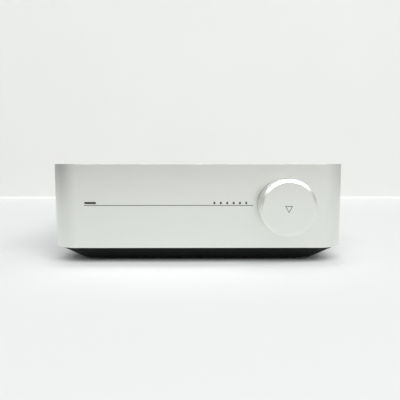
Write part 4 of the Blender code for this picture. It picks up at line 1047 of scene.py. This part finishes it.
def build_ethernet():
    """The network socket: a shielded case, a stepped pocket, a row of contacts and two small lights."""
    width, depth, height = size_of("ethernet_port")
    at, corner = rear_face("ethernet_port"), NETWORK_CORNER
    case = bevelled((width, height), corner, -depth, 0, corner, corner / 2, corner, at)
    (x, z), (latch, step) = NETWORK_MOUTH, NETWORK_LATCH
    mouth = np.array([
        (x, z), (-x, z), (-x, -z), (-latch, -z),
        (-latch, -z - step), (latch, -z - step), (latch, -z), (x, -z)])
    pocket = prism(mouth, -NETWORK_POCKET, PAST, at, REAR)
    piece("ethernet_case", [case], "shield_steel", nodes=["ethernet_port"], cuts=[[pocket]])
    wires_at = at + (0, -NETWORK_WIRE_ROOT, z - NETWORK_WIRE_DROP)
    wires = row_of_boxes(NETWORK_CONTACTS, NETWORK_PITCH, np.array(NETWORK_WIRE), wires_at, REAR)
    piece("ethernet_contacts", wires, "gold_contact")
    light = rounded(*LIGHT_SIZE, LIGHT_CORNER)
    lights = [prism(light, -LIGHT_SUNK, LIGHT_PROUD, at + (side * LIGHT_SIDE, 0, -LIGHT_DROP), REAR)
              for side in (-1, 1)]
    piece("ethernet_lights", lights, "port_light", slot=False)


def build_optical():
    """The optical socket: a bevelled square case, and its sprung shutter with a raised square."""
    width, depth, height = size_of("optical_jack")
    at, corner = rear_face("optical_jack"), OPTICAL_CORNER
    case = bevelled((width, height), corner, -depth, 0, corner / 2, corner / 2, corner / 2, at)
    mouth = rounded(OPTICAL_MOUTH, OPTICAL_MOUTH, OPTICAL_MOUTH_CORNER)
    pocket = prism(mouth, -OPTICAL_POCKET, PAST, at, REAR)
    piece("optical_case", [case], "socket_plastic", nodes=["optical_jack"], cuts=[[pocket]])
    wide, thick, tall = size_of("optical_shutter")
    step = thick * SHUTTER_STEP_SHARE
    leaf = stack(
        [(rounded(wide - less, tall - less, corner / 2), level)
         for less, level in ((0, 0), (0, step), (SHUTTER_STEP, step), (SHUTTER_TOP, thick))],
        on_level("optical_shutter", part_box("optical_shutter")[0].y), REAR)
    piece("shutter_leaf", [leaf], "socket_plastic", "shutter", ["optical_shutter"])


def build_inlet(rear, gap):
    """The mains inlet: a rounded flange and body, a deep pocket and two pins with rounded ends."""
    width, _, height = size_of("power_inlet")
    at, corner, bevel = on_panel("power_inlet"), rear.inlet_corner, INLET_BEVEL
    back, face = span_of("power_inlet", PANEL_HIGH.y)
    flange = rounded(width, height, corner)
    lip = rounded(width - 2 * bevel, height - 2 * bevel, corner - bevel)
    box = rounded(*inlet_body(), corner)
    case = stack([(box, back), (box, gap), (flange, gap), (flange, face - bevel), (lip, face)], at, REAR)
    floor = face - INLET_POCKET
    pocket = prism(rounded(*INLET_MOUTH, INLET_MOUTH[1] / 2), floor, face + PAST, at, REAR)
    piece("inlet_case", [case], "socket_plastic", nodes=["power_inlet"], cuts=[[pocket]])
    tip = floor + PIN_LENGTH
    end = arc(PIN_RADIUS - PIN_ROUND, tip, PIN_ROUND, 0, 90)
    pin = profile((PIN_RADIUS, floor), (PIN_RADIUS, tip), end)
    pins = [turned(pin, at + (side * PIN_SIDE, 0, 0), REAR, SMALL_SIDES) for side in (-1, 1)]
    piece("inlet_pins", pins, "shield_steel")


# Packed nodes that keep their own shape, by finish
KEPT_NODES = {
    "screw_steel": [f"base_screw_{corner}" for corner in CORNERS],
    "encoder_steel": ["encoder_body", "encoder_nut", "encoder_shaft"],
    "inner_plastic": ["knob_hub", "switch_plunger", "ir_receiver", "bulk_capacitor_inner",
                      "bulk_capacitor_outer", "amplifier_chip", "mains_lead"],
    "lens_plastic": ["status_window", "light_guide"],
    "led_plastic": ["led_array"],
    "board_laminate": ["front_board", "terminal_board", "main_board", "power_board", "antenna"],
    "transformer_core": ["transformer"],
    "heatsink_aluminium": ["heatsink"],
    "shield_steel": ["wireless_module"],
    "ribbon_film": ["front_ribbon"],
}


def dress_kept_nodes():
    """Gives every packed node that stays in view its finish."""
    for name, nodes in KEPT_NODES.items():
        for node in nodes:
            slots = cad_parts[node].data.materials
            slots.clear()
            slots.append(finish(name))


# Stage

# Fineness of the table and its cove, and the looks of its paper
TABLE_COLUMNS = 9
COVE_STEPS = 12
PAPER_SCALE = 3.0
PAPER_DETAIL = 3.0
PAPER_ROUGHNESS = 0.85
PAPER_SPECULAR = 0.1
FLOOR_MOTTLE = 0.015
WALL_MOTTLE = 0.03

SENSOR_WIDTH = 36.0


def build_floor(stage):
    """Table and backdrop: a path along the table, round a cove and up, carried sideways.

    The sheet is as wide as the table at the bottom of the cove and narrows to the backdrop at its top.
    """
    radius, back = stage.cove_radius, stage.backdrop_y
    reach = stage.table_size / 2
    bend = arc(back - radius, radius, radius, -90, 0, COVE_STEPS)
    path = profile((-reach, 0), (back - 2 * radius, 0), bend, (back, stage.backdrop_height))
    across = np.linspace(-reach, reach, TABLE_COLUMNS)
    rise = np.clip(path[:, 1] / radius, 0, 1)
    narrow = 1 - rise * (1 - stage.backdrop_width / stage.table_size)
    x = narrow[:, None] * across
    y = np.broadcast_to(path[:, 0][:, None], x.shape)
    z = np.broadcast_to(path[:, 1][:, None], x.shape)
    points = np.stack([x, y, z], axis=-1).reshape(-1, 3)
    row = np.arange(len(path) - 1)[:, None] * TABLE_COLUMNS
    first = row + np.arange(TABLE_COLUMNS - 1)
    corners = [first, first + 1, first + TABLE_COLUMNS + 1, first + TABLE_COLUMNS]
    mesh = bpy.data.meshes.new("table")
    mesh.from_pydata(points.tolist(), [], np.stack(corners, axis=-1).reshape(-1, 4).tolist())
    mesh.shade_smooth()
    material, recipe = new_material("table_paper")
    where = recipe.node("ShaderNodeTexCoord", out="Object")
    cloud = recipe.noise(where, PAPER_SCALE, PAPER_DETAIL)
    wall = recipe.ramp(recipe.part(where, "Z"), 0.0, radius)

    def paper(sign):
        floor_tint = shade(stage.floor_colour, 1 + sign * FLOOR_MOTTLE)
        return recipe.blend(wall, floor_tint, shade(stage.wall_colour, 1 + sign * WALL_MOTTLE))

    recipe.surface({
        "Base Color": recipe.blend(cloud, paper(-1), paper(1)),
        "Roughness": PAPER_ROUGHNESS,
        "Specular IOR Level": PAPER_SPECULAR,
    })
    mesh.materials.append(material)
    add_object("table", mesh)


def build_light(stage):
    """Soft light from the whole room and one softbox.

    The room is brightest to the right and behind, dimmest to the left, and dim straight above.
    """
    world = bpy.data.worlds.new("soft_room")
    bpy.context.scene.world = world
    world.use_nodes = True
    recipe = Recipe(world.node_tree)
    where = recipe.node("ShaderNodeTexCoord", out="Generated")
    across = recipe.part(where, "X")
    rightward, leftward = recipe.ramp(across, 0.0, 1.0), recipe.ramp(across, 0.0, -1.0)
    behind = recipe.ramp(recipe.part(where, "Y"), 0.0, 1.0)
    overhead = recipe.ramp(recipe.part(where, "Z"), 0.0, 1.0)
    level = stage.sky_front + (stage.sky_right - stage.sky_front) * rightward
    level = level + (stage.sky_left - stage.sky_front) * leftward
    level = level + (stage.sky_back - level) * behind
    level = level + (stage.sky_top - level) * overhead
    light = recipe.node("ShaderNodeBackground", None, {"Strength": level})
    recipe.node("ShaderNodeOutputWorld", None, {"Surface": light})
    lamp = bpy.data.lights.new("softbox", "AREA")
    lamp.shape = "RECTANGLE"
    lamp.size = stage.softbox_width
    lamp.size_y = stage.softbox_height
    lamp.energy = stage.softbox_power
    box = add_object("softbox", lamp)
    box.location = stage.softbox_at
    aim = np.array(stage.softbox_aim) - np.array(stage.softbox_at)
    flat = math.hypot(aim[0], aim[1])
    box.rotation_euler = (math.atan2(flat, -aim[2]), 0, math.atan2(aim[1], aim[0]) - math.pi / 2)


def build_camera(stage):
    """The camera at the photograph's viewing angle."""
    data = bpy.data.cameras.new("camera")
    data.sensor_width = SENSOR_WIDTH
    data.lens = stage.camera_lens
    camera = add_object("camera", data)
    camera.location = stage.camera_at
    camera.rotation_euler = (math.pi / 2 - stage.camera_pitch, 0, -stage.camera_turn)
    bpy.context.scene.camera = camera
    bpy.context.scene.view_settings.view_transform = "Standard"


# Operators

class RECEIVER_OT_stage(Operator):
    """Make the camera, the light and the pale table"""

    bl_idname = "receiver.stage"
    bl_label = "Stage"

    def execute(self, context):
        stage = context.scene.receiver_stage
        build_camera(stage)
        build_light(stage)
        build_floor(stage)
        return {"FINISHED"}


class RECEIVER_OT_finishes(Operator):
    """Make the finishes and give them to the packed nodes that stay in view"""

    bl_idname = "receiver.finishes"
    bl_label = "Finishes"

    def execute(self, context):
        FINISHES.update(make_finishes(context.scene.receiver_colours))
        dress_kept_nodes()
        return {"FINISHED"}


class RECEIVER_OT_housing(Operator):
    """Make the aluminium housing with its line, window slot, dots and rear opening"""

    bl_idname = "receiver.housing"
    bl_label = "Housing"

    def execute(self, context):
        scene = context.scene
        build_housing(scene.receiver_body, scene.receiver_front, scene.receiver_rear)
        return {"FINISHED"}


class RECEIVER_OT_base(Operator):
    """Make the flared base and the four feet"""

    bl_idname = "receiver.base"
    bl_label = "Base and feet"

    def execute(self, context):
        build_base(context.scene.receiver_body)
        build_feet(context.scene.receiver_body)
        return {"FINISHED"}


class RECEIVER_OT_knob(Operator):
    """Make the volume knob and the triangle on its face"""

    bl_idname = "receiver.knob"
    bl_label = "Knob"

    def execute(self, context):
        build_knob(context.scene.receiver_front)
        return {"FINISHED"}


class RECEIVER_OT_rear_panel(Operator):
    """Make the rear panel and its screws"""

    bl_idname = "receiver.rear_panel"
    bl_label = "Rear panel"

    def execute(self, context):
        build_rear_panel(context.scene.receiver_body, context.scene.receiver_rear)
        return {"FINISHED"}


class RECEIVER_OT_terminals(Operator):
    """Make the loudspeaker terminals"""

    bl_idname = "receiver.terminals"
    bl_label = "Terminals"

    def execute(self, context):
        build_terminals(context.scene.receiver_body, context.scene.receiver_rear)
        return {"FINISHED"}


class RECEIVER_OT_sockets(Operator):
    """Make the phono, digital, network and mains sockets"""

    bl_idname = "receiver.sockets"
    bl_label = "Sockets"

    def execute(self, context):
        rear, gap = context.scene.receiver_rear, context.scene.receiver_body.seat_gap
        build_phono("line_in_left", "phono_white", rear, gap)
        build_phono("line_in_right", "phono_red", rear, gap)
        build_phono("sub_out", "socket_plastic", rear, gap)
        build_tongue_socket("hdmi_port", rear, HDMI_CONTACTS, HDMI_CHAMFER)
        build_tongue_socket("usb_port", rear, USB_CONTACTS, USB_CHAMFER)
        build_ethernet()
        build_optical()
        build_inlet(rear, gap)
        return {"FINISHED"}


STEPS = (
    RECEIVER_OT_stage,
    RECEIVER_OT_finishes,
    RECEIVER_OT_housing,
    RECEIVER_OT_base,
    RECEIVER_OT_knob,
    RECEIVER_OT_rear_panel,
    RECEIVER_OT_terminals,
    RECEIVER_OT_sockets,
)


class RECEIVER_PT_sidebar(Panel):
    """Lists the receiver's steps and sizes"""

    bl_idname = "RECEIVER_PT_sidebar"
    bl_label = "Receiver"
    bl_space_type = "VIEW_3D"
    bl_region_type = "UI"
    bl_category = "Receiver"

    def draw(self, context):
        for step in STEPS:
            self.layout.operator(step.bl_idname)
        for name, group in GROUPS.items():
            box = self.layout.box()
            box.label(text=group.__doc__)
            for prop in group.__annotations__:
                box.prop(getattr(context.scene, name), prop)


def register():
    for group in GROUPS.values():
        bpy.utils.register_class(group)
    for name, group in GROUPS.items():
        setattr(bpy.types.Scene, name, PointerProperty(type=group))
    for step in (*STEPS, RECEIVER_PT_sidebar):
        bpy.utils.register_class(step)


def unregister():
    for step in (RECEIVER_PT_sidebar, *reversed(STEPS)):
        bpy.utils.unregister_class(step)
    for name in GROUPS:
        delattr(bpy.types.Scene, name)
    for group in reversed(list(GROUPS.values())):
        bpy.utils.unregister_class(group)


def clear_start_scene():
    """Removes what Blender's own start scene holds."""
    for name in ("Cube", "Light", "Camera"):
        item = bpy.data.objects.get(name)
        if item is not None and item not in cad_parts.values():
            bpy.data.objects.remove(item)


def main():
    clear_start_scene()
    register()
    bpy.ops.receiver.stage()
    bpy.ops.receiver.finishes()
    bpy.ops.receiver.housing()
    bpy.ops.receiver.base()
    bpy.ops.receiver.knob()
    bpy.ops.receiver.rear_panel()
    bpy.ops.receiver.terminals()
    bpy.ops.receiver.sockets()


if __name__ == "__main__":
    main()
